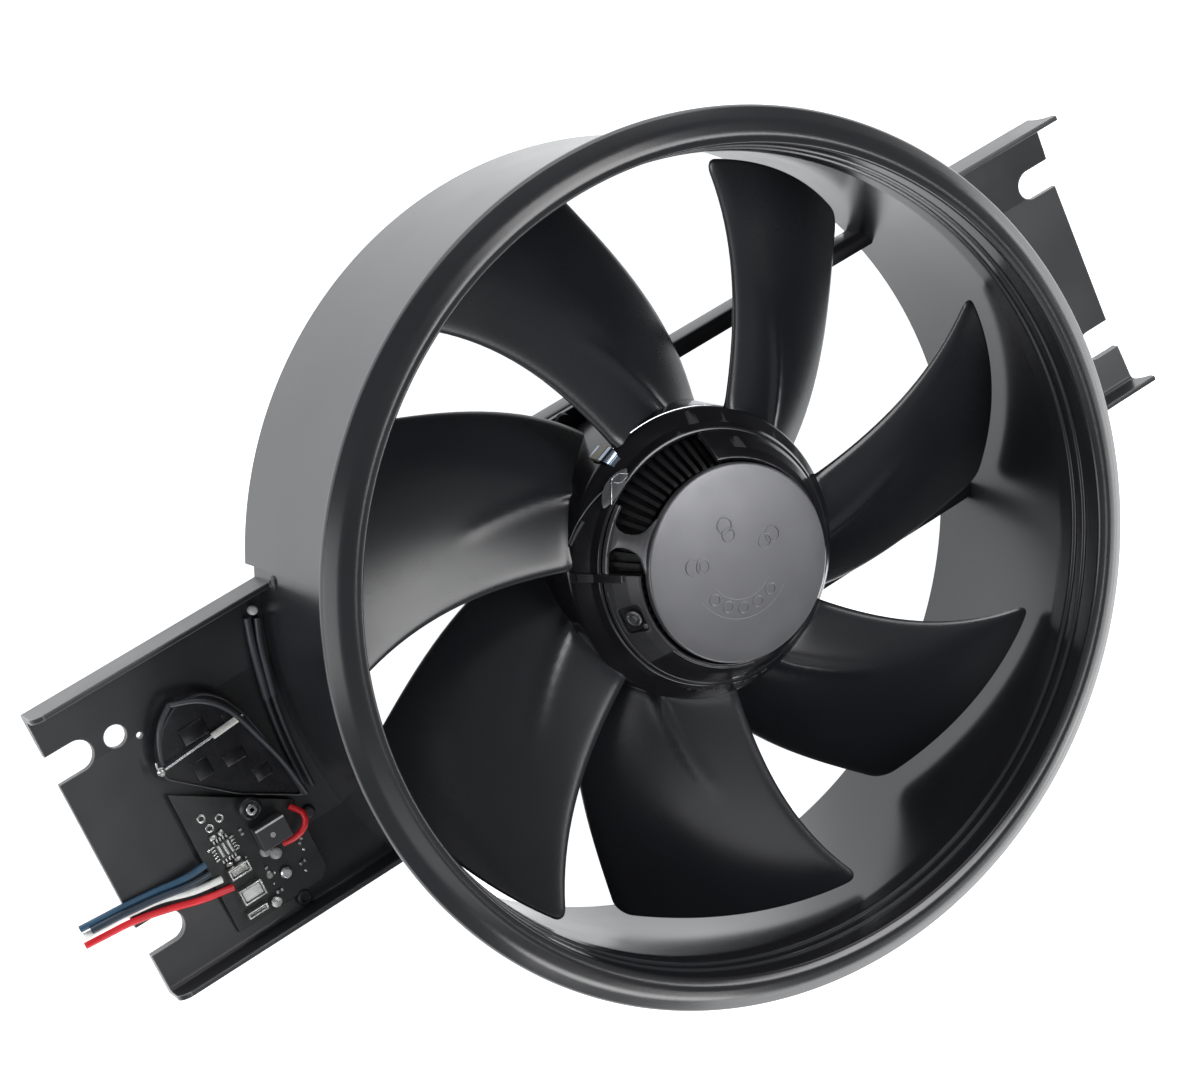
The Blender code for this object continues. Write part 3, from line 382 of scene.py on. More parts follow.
def extrude(name, points, move, smooth_deg=35):
    """A closed loop of 3-D points pushed along a vector into a solid."""
    bm = bmesh.new()
    face = bm.faces.new([bm.verts.new(p) for p in points])
    new = bmesh.ops.extrude_face_region(bm, geom=[face])["geom"]
    bmesh.ops.translate(bm, vec=move, verts=[v for v in new if isinstance(v, bmesh.types.BMVert)])
    return loose(name, bm, smooth_deg)


def prism(name, outline, z0, z1):
    return extrude(name, [(x, y, z0) for x, y in outline], (0, 0, z1 - z0))


def slab(name, low, high):
    x0, y0, z0 = low
    x1, y1, z1 = high
    return prism(name, [(x0, y0), (x1, y0), (x1, y1), (x0, y1)], z0, z1)


def rod(name, radius, z0, z1, x=0.0, y=0.0, steps=48):
    return prism(name, arc(x, y, radius, 0, 360, steps)[:-1], z0, z1)


def along(points, step):
    """Points a step apart on a smooth curve through a route."""
    p = [Vector(q) for q in points]
    p = [2 * p[0] - p[1]] + p + [2 * p[-1] - p[-2]]
    dense = []
    for i in range(1, len(p) - 2):
        a, b, c, d = p[i - 1:i + 3]
        for k in range(24):
            t = k / 24
            dense.append(0.5 * (2 * b + (c - a) * t + (2 * a - 5 * b + 4 * c - d) * t ** 2
                                + (3 * b - 3 * c + d - a) * t ** 3))
    dense.append(p[-2])
    length = sum((b - a).length for a, b in zip(dense, dense[1:]))
    count = max(2, round(length / step))
    spaced, run = [dense[0]], 0.0
    for a, b in zip(dense, dense[1:]):
        span = (b - a).length
        while run + span >= length / count * len(spaced) and len(spaced) < count:
            spaced.append(a.lerp(b, (length / count * len(spaced) - run) / span))
        run += span
    return spaced + [dense[-1]], length


def wire(name, route, radius, resolution=5, step=None):
    """A round wire through a route, as a curve with closed ends. Returns it and its length."""
    points, length = along(route, step or radius * 2.2)
    curve = bpy.data.curves.new(name, "CURVE")
    curve.dimensions = "3D"
    curve.bevel_depth = radius
    curve.bevel_resolution = resolution
    curve.use_fill_caps = True
    spline = curve.splines.new("POLY")
    spline.points.add(len(points) - 1)
    for target, point in zip(spline.points, points):
        target.co = (*point, 1.0)
    spline.use_smooth = True
    ob = bpy.data.objects.new(name, curve)
    bpy.context.collection.objects.link(ob)
    return ob, length


def joined(name, parts):
    """Several loose objects made one."""
    bm = bmesh.new()
    for part in parts:
        if part.type == "CURVE":
            mesh = evaluated_mesh(part)
        else:
            mesh = part.data
        mesh.transform(part.matrix_world)
        bm.from_mesh(mesh)
        bpy.data.objects.remove(part)
    mesh = bpy.data.meshes.new(name)
    bm.to_mesh(mesh)
    bm.free()
    shade(mesh, JOINED_SMOOTH_DEG)
    ob = bpy.data.objects.new(name, mesh)
    bpy.context.collection.objects.link(ob)
    return ob


def loft(name, rows, smooth_deg):
    """A solid skinned over rows of points, each row a closed loop, with flat ends."""
    bm = bmesh.new()
    rings = [[bm.verts.new(point) for point in row] for row in rows]
    for a, b in zip(rings, rings[1:]):
        for k in range(len(a)):
            n = (k + 1) % len(a)
            bm.faces.new((a[k], b[k], b[n], a[n]))
    bm.faces.new(rings[0])
    bm.faces.new(rings[-1][::-1])
    return loose(name, bm, smooth_deg)


def moved(ob, matrix):
    ob.data.transform(matrix)
    return ob


def turned(deg, axis="Z"):
    return Matrix.Rotation(math.radians(deg), 4, axis)


def polar(turn_deg, r, z):
    t = math.radians(turn_deg)
    return (r * math.cos(t), r * math.sin(t), z)


def polar_wire(name, radius, stations):
    """A wire through (angle, radius, z) stations round the fan's axis."""
    return wire(name, [polar(*station) for station in stations], radius)[0]


def refined(node, mat, width, segments=2):
    """A CAD node's own shape with its edges rounded."""
    bm = bmesh.new()
    bm.from_mesh(frame["nodes"][node].data)
    bmesh.ops.remove_doubles(bm, verts=bm.verts[:], dist=2e-6)
    ob = soften(loose(node + "_finished", bm), width, segments)
    return piece(ob, mat, BODY_OF[node], node)


def polynomial(coefficients, s):
    a, b, c = coefficients
    return a + b * s + c * s * s


# ---- duct and frame -----------------------------------------------------------------
def outer_r(z):
    rear, front = REAR_INNER_R + DUCT_WALL, THROAT_R + DUCT_WALL + 0.0008
    return rear + (front - rear) * z / THROAT_Z


def duct_outline():
    """Up the inside from the rear rim, over the two small steps and the roll, down the outside."""
    inside = [(REAR_INNER_R + 0.0009, 0.0, 0.0003), (REAR_INNER_R, 0.0010, 0.0006),
              (THROAT_R, THROAT_Z - 0.0010, 0.020), (THROAT_R + 0.0006, THROAT_Z + 0.0050, 0.003)]
    for radius, z in ((THROAT_R + 0.0008, THROAT_Z + 0.0060), (THROAT_R + 0.0018, THROAT_Z + 0.0110)):
        inside += [(radius, z, 0.0008), (radius + 0.0011, z + 0.0008, 0.0008),
                   (radius + 0.0008, z + 0.0024, 0.0010)]
    inside += [(THROAT_R + 0.0031, DUCT_DEPTH - 0.0014, 0.0020)]
    outside = [(LIP_R - 0.0110, DUCT_DEPTH, 0.008), (LIP_R - 0.0058, DUCT_DEPTH - 0.0019, 0.012),
               (LIP_R - 0.0004, DUCT_DEPTH - 0.0060, 0.0046), (LIP_R, DUCT_DEPTH - 0.0084, 0.0012),
               (LIP_R - 0.0050, DUCT_DEPTH - 0.0086, 0.003),
               (THROAT_R + 0.0066, THROAT_Z + 0.0060, 0.005), (outer_r(0.090), 0.090, 0.012),
               (outer_r(0), 0.0, 0.0004)]
    return rounded(inside + outside, 8)


def build_duct():
    duct = lathe("duct_body", duct_outline(), 288, smooth_deg=38)
    for side in (-1, 1):
        x0, x1 = sorted((side * 0.12, side * (ARM_REACH + 0.01)))
        boolean(duct, slab("skirt_notch", (x0, -ARM_HALF_W - 0.0035, -0.01),
                           (x1, ARM_HALF_W + 0.0035, ARM_BACK_Z + 0.0004)))
    shade(duct.data, 38)
    piece(duct, LACQUER, "housing", "duct_shroud", "bell_mouth")
    head = rounded([(0, -0.0008, 0), (0.0030, -0.0008, 0.0002), (0.0030, 0.0006, 0.0008),
                    (0.0012, 0.0013, 0.0004), (0.0010, 0.0006, 0.0002), (0, 0.0006, 0)], 4)
    screw_z = 0.0285
    place = turned(156.5) @ Matrix.Translation((outer_r(screw_z), 0, screw_z)) @ turned(90, "Y")
    piece(moved(lathe("duct_screw", head, 36), place), DARK_METAL, "housing")


def arm_section():
    w, t = ARM_HALF_W, ARM_WALL
    half = [(w, ARM_BACK_Z, 0.0010), (w, ARM_TOP_Z, 0.0006), (w - t, ARM_TOP_Z, 0.0006),
            (w - t, ARM_SHELF_Z + 0.0008, 0.0022), (ARM_SHELF_Y + 0.0150, ARM_SHELF_Z, 0.004),
            (ARM_SHELF_Y, ARM_FLOOR_Z, 0.0010)]
    return rounded(half + [(-y, z, r) for y, z, r in reversed(half)], 4)


def build_arm(side):
    name = "left_arm" if side < 0 else "right_arm"
    start, end, past_end = 0.130, ARM_REACH, ARM_REACH + 0.02
    arm = extrude(name + "_finished", [(start * side, y, z) for y, z in arm_section()],
                  ((end - start) * side, 0, 0), 30)
    low, high = -0.01, 0.05
    boolean(arm, rod("duct_fit", outer_r(ARM_FLOOR_Z) - 0.0006, low, high, steps=288))
    floor_end = end if side < 0 else end - EAR_LENGTH
    for y in (SLOT_Y, -SLOT_Y):
        r = SLOT_W / 2
        inner = floor_end - SLOT_DEPTH + r
        outline = [(x * side, yy) for x, yy in arc(inner, y, r, 90, 270, 24)]
        outline += [((end + 0.01) * side, y - r), ((end + 0.01) * side, y + r)]
        boolean(arm, prism("slot", outline, low, high))
    if side > 0:
        radius = 0.0125
        centre = (floor_end + radius, ARM_FLOOR_Z + 0.0005)
        outline = [(floor_end, low)] + arc(*centre, radius, 180, 100, 20)
        outline += [(past_end, high), (past_end, low)]
    else:
        boolean(arm, rod("round_hole", 0.0045, low, high, -0.2205, 0.0377))
        boolean(arm, rod("pin_hole", 0.0012, low, high, -0.2122, 0.0330, 24))
        corner_x, corner_z = -end + 0.0052, ARM_TOP_Z - 0.0060
        outline = [(-end - 0.002, corner_z)] + arc(corner_x, corner_z, 0.0056, 180, 96, 8)
        outline += [(corner_x, ARM_TOP_Z + 0.002), (-end - 0.002, ARM_TOP_Z + 0.002)]
    boolean(arm, extrude("ends", [(x, -0.1, z) for x, z in outline], (0, 0.2, 0)))
    soften(arm, 0.00055, 3, 40)
    piece(arm, ARM_PAINT, "housing", name + "_channel")


def build_crossbar(side):
    name = "upper_crossbar" if side > 0 else "lower_crossbar"
    section = rounded([(BAR_INNER_Y, BAR_BOTTOM_Z, 0.0008), (BAR_OUTER_Y, BAR_BOTTOM_Z, 0.0008),
                       (BAR_OUTER_Y, BAR_TOP_Z, 0.0030), (BAR_INNER_Y, BAR_TOP_Z, 0.0010)], 6)
    bar = extrude(name + "_finished", [(-0.16, y * side, z) for y, z in section], (0.32, 0, 0), 30)
    boolean(bar, rod("duct_fit", REAR_INNER_R - 0.0003, 0, 0.05, steps=288), "INTERSECT")
    piece(bar, LACQUER, "housing", name)


def build_motor_frame():
    refined("motor_mount_plate", LACQUER, 0.0004)
    refined("motor_base", CAST_GREY, 0.0003)
    for n in range(1, 5):
        refined(f"frame_rivet_{n}", DARK_METAL, 0.0002)
        refined(f"base_screw_{n}", BRIGHT_STEEL, 0.0002)
    for node, mat in (("front_bearing", BRIGHT_STEEL), ("rear_bearing", BRIGHT_STEEL),
                      ("motor_shaft", BRIGHT_STEEL), ("shaft_circlip", SPRING_STEEL),
                      ("rotor_cup", DARK_METAL), ("rotor_magnet_ring", DARK_METAL),
                      ("stator_core", LAMINATION), ("stator_coils_front", COPPER),
                      ("stator_coils_rear", COPPER)):
        refined(node, mat, 0.0002, 1)


# ---- impeller -----------------------------------------------------------------------
def build_hub():
    skirt, sleeve_r = HUB_R - 0.0025, 0.0483
    z0, z1, web = HUB_BASE_Z, 0.0745, 0.0700
    outline = rounded([
        (skirt, z0, 0.0004), (HUB_R, z0, 0.0008), (HUB_R, z1 + 0.0004, 0.0060),
        (SHOULDER_R + 0.0026, SHOULDER_Z - 0.0034, 0.0040),
        (SHOULDER_R + 0.0010, SHOULDER_Z - 0.0002, 0.0010), (SHOULDER_R, SHOULDER_Z, 0.0006),
        (SHOULDER_R - 0.0010, SHOULDER_Z - 0.0004, 0.0003),
        (SHOULDER_R - 0.0010, SHOULDER_Z - 0.0100, 0.0004),
        (sleeve_r, web + 0.0020, 0.0004), (sleeve_r, z0 + 0.006, 0.0004),
        (sleeve_r + 0.0018, z0 + 0.006, 0.0004), (sleeve_r + 0.0018, web, 0.0006), (skirt, web, 0.0006)], 5)
    piece(lathe("hub_moulding", outline, 224), HUB_GLOSS, "impeller", "impeller_hub")
    bead = rounded([(HUB_R - 0.0014, z1 - 0.0010, 0), (HUB_R + 0.0002, z1 - 0.0010, 0.0003),
                    (HUB_R + 0.0002, z1 - 0.0004, 0.0003), (HUB_R - 0.0014, z1 - 0.0004, 0)], 3)
    piece(lathe("hub_rim_bead", bead, 360, 60, 46), SPRING_STEEL, "impeller")
    seam = polar_wire("hub_seam", 0.00032, (
        (118, 0.0522, 0.0828), (128, 0.0546, 0.0796), (138, 0.0562, 0.0764), (148, 0.0569, 0.0728),
        (158, 0.0570, 0.0680)))
    piece(seam, LEAF_STEEL, "impeller")
    sliver = polar_wire("hub_sliver", 0.0008, (
        (137, 0.0552, 0.0782), (142, 0.0560, 0.0764), (147, 0.0565, 0.0744)))
    piece(sliver, SHOULDER, "impeller")


def blade_thickness(u, s, radius):
    """Rounded nose, thin tail, and a moulded fillet where the blade meets the hub."""
    whole = 0.0033 + (0.0020 - 0.0033) * s
    nose = math.sqrt(max(0.0, 1 - (1 - min(1.0, u / 0.07)) ** 2))
    tail = math.sqrt(max(0.0, 1 - (1 - min(1.0, (1 - u) / 0.05)) ** 2))
    fillet = 0.0012 * math.exp(-max(0.0, radius - HUB_R) / 0.0020)
    return (whole + fillet) * min(nose, tail)


def blade_point(u, s, side):
    radius = HUB_R + (BLADE_TIP_R - HUB_R) * s
    lead, trail = polynomial(LEADING_ANGLE_DEG, max(s, 0)), polynomial(TRAILING_ANGLE_DEG, max(s, 0))
    chord = math.radians(lead - trail) * radius
    from_tip = BLADE_TIP_R - radius
    inset = 0.0
    if from_tip < BLADE_CORNER:
        k = 1 - from_tip / BLADE_CORNER
        inset = BLADE_CORNER * (1 - math.sqrt(max(0.0, 1 - k * k))) / chord
    v = inset + u * (1 - 2 * inset)
    angle = math.radians(lead + (trail - lead) * v)
    z = polynomial(LEADING_Z, max(s, 0)) * (1 - v) + polynomial(TRAILING_Z, max(s, 0)) * v
    z += BLADE_CAMBER * 4 * v * (1 - v)
    fade = max(0.0, 1 - max(s, 0) / 0.45) ** 0.7
    z += ROOT_RIB * fade * math.exp(-((v - 0.51 + 0.44 * s) / 0.044) ** 2)
    thick = blade_thickness(u, s, radius)
    if from_tip < 0.0010:
        thick *= math.sqrt(max(0.0, 1 - (1 - from_tip / 0.0010) ** 2))
    angle -= side * thick * 0.25 / radius
    return Vector((radius * math.cos(angle), radius * math.sin(angle), z + side * thick * 0.45))


def build_blade(number):
    """A cambered sickle blade: two skins over the same grid, joined round the rim."""
    chord = [0, 0.004, 0.012, 0.025, 0.045, 0.07] + [0.07 + 0.88 * i / 40 for i in range(1, 41)]
    chord += [0.965, 0.98, 0.99, 0.997, 1]
    straight = (BLADE_TIP_R - BLADE_CORNER - HUB_R) / (BLADE_TIP_R - HUB_R)
    span = [-0.010, 0, 0.008, 0.018, 0.032, 0.05] + [0.05 + (straight - 0.05) * i / 18 for i in range(1, 19)]
    for t in (12, 24, 36, 48, 58, 67, 75, 81, 86, 90):
        span.append(1 - (1 - straight) * (1 - math.sin(math.radians(t))))
    bm = bmesh.new()
    skins = []
    for side in (1, -1):
        grid = [[bm.verts.new(blade_point(u, s, side)) for u in chord] for s in span]
        for a, b in zip(grid, grid[1:]):
            for i in range(len(chord) - 1):
                bm.faces.new((a[i], a[i + 1], b[i + 1], b[i]))
        skins.append(grid)
    front, rear = skins
    last = len(chord) - 1
    rims = [[grid[0][i] for i in range(last + 1)] + [row[last] for row in grid[1:]]
            + [grid[-1][i] for i in range(last - 1, -1, -1)] + [row[0] for row in grid[-2:0:-1]]
            for grid in (front, rear)]
    for k in range(len(rims[0])):
        n = (k + 1) % len(rims[0])
        corners = (rims[0][k], rims[1][k], rims[1][n], rims[0][n])
        if len({tuple(round(c, 8) for c in v.co) for v in corners}) > 2:
            bm.faces.new(corners)
    blade = loose(f"blade_{number + 1}_finished", bm, 60)
    blade.data.transform(Matrix.Rotation(-number * 2 * math.pi / BLADES, 4, "Z"))
    piece(blade, BLADE_BLACK, "impeller", f"fan_blade_{number + 1}")


# The pocket's place on the end bell's slope: local Z stands out of it and local X points down it.
POCKET_PLACE = turned(181) @ Matrix.Translation((0.0440, 0, 0.0925)) @ turned(56, "Y")


def build_end_bell():
    """The black dome with its pocketed plate, the ribs in its window, and the satin disc on top."""
    outer = [(0.0487, 0.0858, 0.0006), (0.0467, 0.0893, 0.003), (0.0431, 0.0946, 0.006),
             (0.0396, 0.0988, 0.0010)]
    inner = [(r - 0.0017, z - 0.0013, 0.002) for r, z, _ in reversed(outer)]
    satin = lathe("dome_satin_sector", rounded(outer + inner, 5), 256, 158, 48)
    boolean(satin, pocket_block("pocket", 0.0, -0.01, 0.01))
    piece(soften(satin, 0.0003, 2, 40), SHOULDER, "impeller", "hub_dome")
    gloss = lathe("dome_gloss_sector", rounded(outer + inner, 5), 256, 206.1, 227.9)
    piece(soften(gloss, 0.0003, 2, 40), HUB_GLOSS, "impeller")
    tray = pocket_block("tray", 0.0004, -0.0030, 0.0)
    boolean(tray, pocket_block("hollow", -0.0004, -0.0022, 0.01))
    piece(soften(tray, 0.0002, 2, 40), BLACK_PART, "impeller", "screw_pocket")
    build_end_bell_lips()
    build_pocket_screw()
    build_ribs()
    build_disc()


def pocket_block(name, grow, z0, z1):
    """A block of the pocket's outline, grown or shrunk, standing square on the slope."""
    x, y, corner = 0.0054 + grow, 0.0060 + grow, 0.0022
    outline = rounded([(x, -y, corner), (x, y, corner), (-x, y, corner), (-x, -y, corner)], 6)
    return moved(prism(name, outline, z0, z1), POCKET_PLACE)


def build_end_bell_lips():
    """The glossy cuff where the end bell starts, and the lips along its foot and beside the disc."""
    cuff_line = rounded([(0.0560, 0.0752, 0.0002), (0.0574, 0.0744, 0.0006), (0.0560, 0.0785, 0.003),
                         (0.0516, 0.0838, 0.003), (0.0492, 0.0878, 0.003), (0.0448, 0.0944, 0.0006),
                         (0.0436, 0.0938, 0.0002), (0.0478, 0.0868, 0.002), (0.0500, 0.0828, 0.002)], 4)
    cuff = soften(lathe("bell_cuff", cuff_line, 360, 157.6, 3.6), 0.0008, 3, 40)
    piece(cuff, HUB_GLOSS, "impeller")
    foot = polar_wire("bell_foot_lip", 0.0006, [(t, 0.0478, 0.0867) for t in range(166, 262, 4)])
    crown = polar_wire("bell_crown_lip", 0.0006, [(t, 0.0403, 0.0975) for t in range(206, 262, 4)])
    piece(joined("end_bell_lips", [foot, crown]), HUB_GLOSS, "impeller")
    dash = [(0.0511, 0.0828), (0.0516, 0.0822), (0.0520, 0.0826), (0.0515, 0.0832)]
    dashes = [lathe("dash", dash, 720, 232 + n * 4.6, 1.6 + (n % 3) * 0.7) for n in range(9)]
    piece(joined("shoulder_dashes", dashes), SHOULDER, "impeller")


def build_pocket_screw():
    head = [(0.0, -0.0018, 0), (0.0033, -0.0018, 0.0001), (0.0033, -0.0006, 0.0006),
            (0.0024, -0.0003, 0.0002), (0.0022, -0.0010, 0.0002), (0.0014, -0.0010, 0.0002),
            (0.0012, -0.0004, 0.0003), (0.0, -0.0004, 0)]
    screw = lathe("pocket_screw", rounded(head, 4), 48)
    slot = slab("drive", (-0.0036, -0.0004, -0.0012), (-0.0010, 0.0004, 0.002))
    boolean(screw, moved(slot, turned(125)))
    piece(moved(screw, POCKET_PLACE), LEAF_STEEL, "impeller", "hub_screw")
    tab = soften(slab("pocket_tab", (-0.0046, 0.0030, -0.0022), (-0.0026, 0.0052, -0.0006)), 0.0003)
    piece(moved(tab, POCKET_PLACE), LEAF_STEEL, "impeller")


def build_ribs():
    """The cone behind the window, with close radial fins standing on it."""
    cone = rounded([(0.0166, 0.0723, 0), (0.0472, 0.0723, 0.0004), (0.0466, 0.0790, 0.002),
                    (0.0345, 0.0925, 0.001), (0.0340, 0.0880, 0), (0.0043, 0.0880, 0), (0.0043, 0.0846, 0),
                    (0.0166, 0.0846, 0)], 4)
    parts = [lathe("rib_cone", cone, 128)]
    outline = rounded([(0.0330, 0.0890, 0), (0.0452, 0.0760, 0), (0.0466, 0.0818, 0.002),
                       (0.0362, 0.0956, 0.002)], 4)
    for n in range(RIBS):
        fin = extrude("fin", [(r, -0.0008, z) for r, z in outline], (0, 0.0016, 0))
        parts.append(moved(fin, turned(n * 360 / RIBS)))
    piece(joined("rib_ring_finished", parts), RIB_BLACK, "impeller", "rib_ring")


def spoke(turn_deg):
    """The disc's spoke: flared where it leaves the disc and again where it meets the rim strip."""
    stations = [(0.0366, 0.0104, 0.1012), (0.0378, 0.0078, 0.1004), (0.0390, 0.0052, 0.0992),
                (0.0405, 0.0036, 0.0975), (0.0422, 0.0028, 0.0952), (0.0440, 0.0026, 0.0927),
                (0.0455, 0.0032, 0.0904), (0.0466, 0.0048, 0.0888), (0.0474, 0.0078, 0.0876)]
    rows = []
    for r, half, top in stations:
        across = [(-half, top - 0.0014), (-half, top - 0.0003), (-half + 0.0003, top),
                  (half - 0.0003, top), (half, top - 0.0003), (half, top - 0.0014)]
        rows.append([turned(turn_deg) @ Vector((r, y, z)) for y, z in across])
    return loft("spoke", rows, 40)


def disc_face_z(radius):
    """The disc's face is a very shallow dome."""
    return DISC_Z + DISC_CROWN * (1 - (radius / DISC_R) ** 2)


def build_disc():
    """The satin disc with its spoke and rim strip, and shallow moulded rings on its face."""
    z = DISC_Z
    crown = [(r, disc_face_z(r), 0) for r in (0.032, 0.026, 0.020, 0.014, 0.008, 0.003, 0.0)]
    disc = lathe("disc", rounded([(0, z - 0.0026, 0), (DISC_R - 0.0020, z - 0.0026, 0.0004),
                                  (DISC_R - 0.0006, z - 0.0036, 0.0003), (DISC_R, z - 0.0030, 0.0003),
                                  (DISC_R, z, 0.0011)] + crown, 6), 192)
    strip = lathe("strip", rounded([(0.0473, 0.0856, 0.0002), (0.0487, 0.0858, 0.0002),
                                    (0.0480, 0.0877, 0.0004), (0.0466, 0.0872, 0.0003)], 3), 256, 126, 31.4)
    parts = [disc, spoke(141), strip]
    for x, y in ((0.0003, 0.0143), (0.0149, 0.0030), (-0.0161, 0.0077)):
        parts += moulded_pair(x, y)
    for turn in (-155, -133, -110, -88, -64):
        t = math.radians(turn)
        parts.append(moulded_ring(0.0168 * math.cos(t), 0.0168 * math.sin(t), 0.0021))
    parts += [moulded_arc(0.0133), moulded_arc(0.0208)]
    piece(joined("disc_finished", parts), CAP_GREY, "impeller", "hub_cap_disc")


def moulded_ring(x, y, radius):
    """A fine ring standing on the disc, as a mould insert leaves."""
    face, half, height = disc_face_z(math.hypot(x, y)), 0.00034, 0.00032
    outline = rounded([(radius - half, face - 0.0004, 0), (radius + half, face - 0.0004, 0),
                       (radius + half * 0.6, face + height, 0.0001),
                       (radius - half * 0.6, face + height, 0.0001)], 2)
    return moved(lathe("ring", outline, 36), Matrix.Translation((x, y, 0)))


def moulded_pair(x, y):
    out = Vector((x, y)).normalized() * 0.0020
    return [moulded_ring(x + out.x, y + out.y, 0.0030), moulded_ring(x - out.x, y - out.y, 0.0026)]


def moulded_arc(radius):
    face = disc_face_z(radius)
    outline = [(radius, face - 0.0003), (radius + 0.0004, face - 0.0003), (radius + 0.0003, face + 0.0001),
               (radius + 0.0001, face + 0.0001)]
    return lathe("arc_mark", outline, 192, -165, 115)


def clip_leaf():
    """A lens-shaped spring leaf lying on the hub's shoulder."""
    rows = []
    across, out = Vector((-0.61, 0, 0.79)), Vector((0.79, 0, 0.61))
    centre = Vector((0.0517, 0, 0.0838))
    for k in range(15):
        half = 0.0003 + 0.0031 * math.sin(math.pi * k / 14) ** 0.8
        turn = turned(110.5 + 19 * k / 14)
        rows.append([turn @ (centre + across * half * a + out * 0.0003 * b)
                     for a, b in ((-1, 1), (0, 1.8), (1, 1), (1, -1), (-1, -1))])
    return loft("clip_leaf", rows, 50)


def bent_strip(line, widths, thick):
    """Flat spring strip bent along an (r, z) line, with a half width at each point."""
    rows = []
    for n, (r, z) in enumerate(line):
        before, after = line[max(n - 1, 0)], line[min(n + 1, len(line) - 1)]
        run = Vector((after[0] - before[0], 0, after[1] - before[1])).normalized()
        out = Vector((run.z, 0, -run.x)) * thick / 2
        centre, side = Vector((r, 0, z)), Vector((0, widths[n], 0))
        rows.append([centre + out + side, centre + out - side, centre - out - side, centre - out + side])
    return loft("clip", rows, 60)


def build_balance_clip():
    """Spring clip on the hub's rim: a tab outside, a rolled bridge, and a leaf on the shoulder."""
    bridge = arc(HUB_R - 0.0010, 0.0752, 0.0022, 0, 120, 8)
    line = [(HUB_R + 0.0010, 0.0650), (HUB_R + 0.0012, 0.0710)] + bridge
    line += [(HUB_R - 0.0040, 0.0790), (HUB_R - 0.0060, 0.0815)]
    widths = [0.0030] * 2 + [0.0034 - 0.00012 * k for k in range(len(bridge))] + [0.0020, 0.0012]
    clip = bent_strip(line, widths, 0.0007)
    clip_turn = turned(110)
    piece(soften(moved(clip, clip_turn), 0.0001, 1), BLUED_STEEL, "impeller", "balance_clip")
    piece(clip_leaf(), LEAF_STEEL, "impeller")
    tab = slab("clip_tab", (HUB_R + 0.0002, -0.0036, 0.0670), (HUB_R + 0.0018, 0.0036, 0.0735))
    piece(moved(soften(tab, 0.0004), clip_turn), TAB_TAN, "impeller")
    loop = polar_wire("clip_loop", 0.00028, (
        (112, 0.0508, 0.0858), (114, 0.0528, 0.0832), (118, 0.0534, 0.0826), (117, 0.0512, 0.0854),
        (113, 0.0506, 0.0860)))
    tail = polar_wire("clip_tail", 0.00030, (
        (118, 0.0534, 0.0826), (122, 0.0520, 0.0844), (127, 0.0504, 0.0860)))
    piece(joined("clip_wires", [loop, tail]), BRIGHT_STEEL, "impeller")


# ---- driver and wiring ---------------------------------------------------------------
def well_outline(inset=0.0):
    shape = [(-0.2130, 0.0150, 0.004), (-0.1900, -0.0060, 0.030), (-0.1675, -0.0205, 0.001),
             (-0.1692, -0.0040, 0.03), (-0.1710, 0.0080, 0.03), (-0.1740, 0.0210, 0.02),
             (-0.1785, 0.0310, 0.02), (-0.1850, 0.0375, 0.012), (-0.1960, 0.0390, 0.012),
             (-0.2050, 0.0330, 0.012), (-0.2105, 0.0250, 0.02)]
    centre = Vector((-0.1880, 0.0120))
    return [tuple(centre + (Vector(q) - centre) * (1 - inset / 0.025)) for q in rounded(shape, 4)]


def build_well():
    """The potted well: a thin-walled tray, filled with black resin that shows the parts under it."""
    well = prism("well", well_outline(), ARM_FLOOR_Z, WELL_TOP_Z)
    boolean(well, prism("tray", well_outline(0.0011), WELL_TOP_Z - 0.0022, WELL_TOP_Z + 0.01))
    soften(well, 0.0003, 2, 50)
    piece(well, BLACK_PART, "housing", "potting_well")
    resin = prism("resin", well_outline(0.0010), WELL_TOP_Z - 0.0030, WELL_TOP_Z - 0.0012)
    piece(resin, POTTING, "housing")
    lumps = []
    for x, y, w, h, t in (
            (-0.1945, 0.0250, 0.0110, 0.0070, 0.0006), (-0.1850, 0.0080, 0.0090, 0.0050, 0.0005),
            (-0.1980, 0.0105, 0.0070, 0.0080, 0.0005), (-0.1800, 0.0230, 0.0050, 0.0040, 0.0004),
            (-0.1780, -0.0030, 0.0070, 0.0060, 0.0004)):
        low, high = WELL_TOP_Z - 0.0025, WELL_TOP_Z - 0.0013 + t
        lump = slab("lump", (x - w / 2, y - h / 2, low), (x + w / 2, y + h / 2, high))
        lumps.append(soften(lump, 0.0006, 3))
    piece(joined("drowned_parts", lumps), POTTING, "housing")


def spot(x, y, turn=0.0):
    return Matrix.Translation((x, y, 0)) @ turned(turn)


def box_part(x, y, w, h, z0, z1, bevel, turn=0.0):
    ob = soften(slab("part", (-w / 2, -h / 2, z0), (w / 2, h / 2, z1)), bevel)
    return moved(ob, spot(x, y, turn))


def round_part(x, y, z, profile, segments=32):
    """A turned part, from a profile of (radius, height above z, rounding)."""
    outline = rounded([(r, z + height, rounding) for r, height, rounding in profile], 4)
    return moved(lathe("part", outline, segments), Matrix.Translation((x, y, 0)))


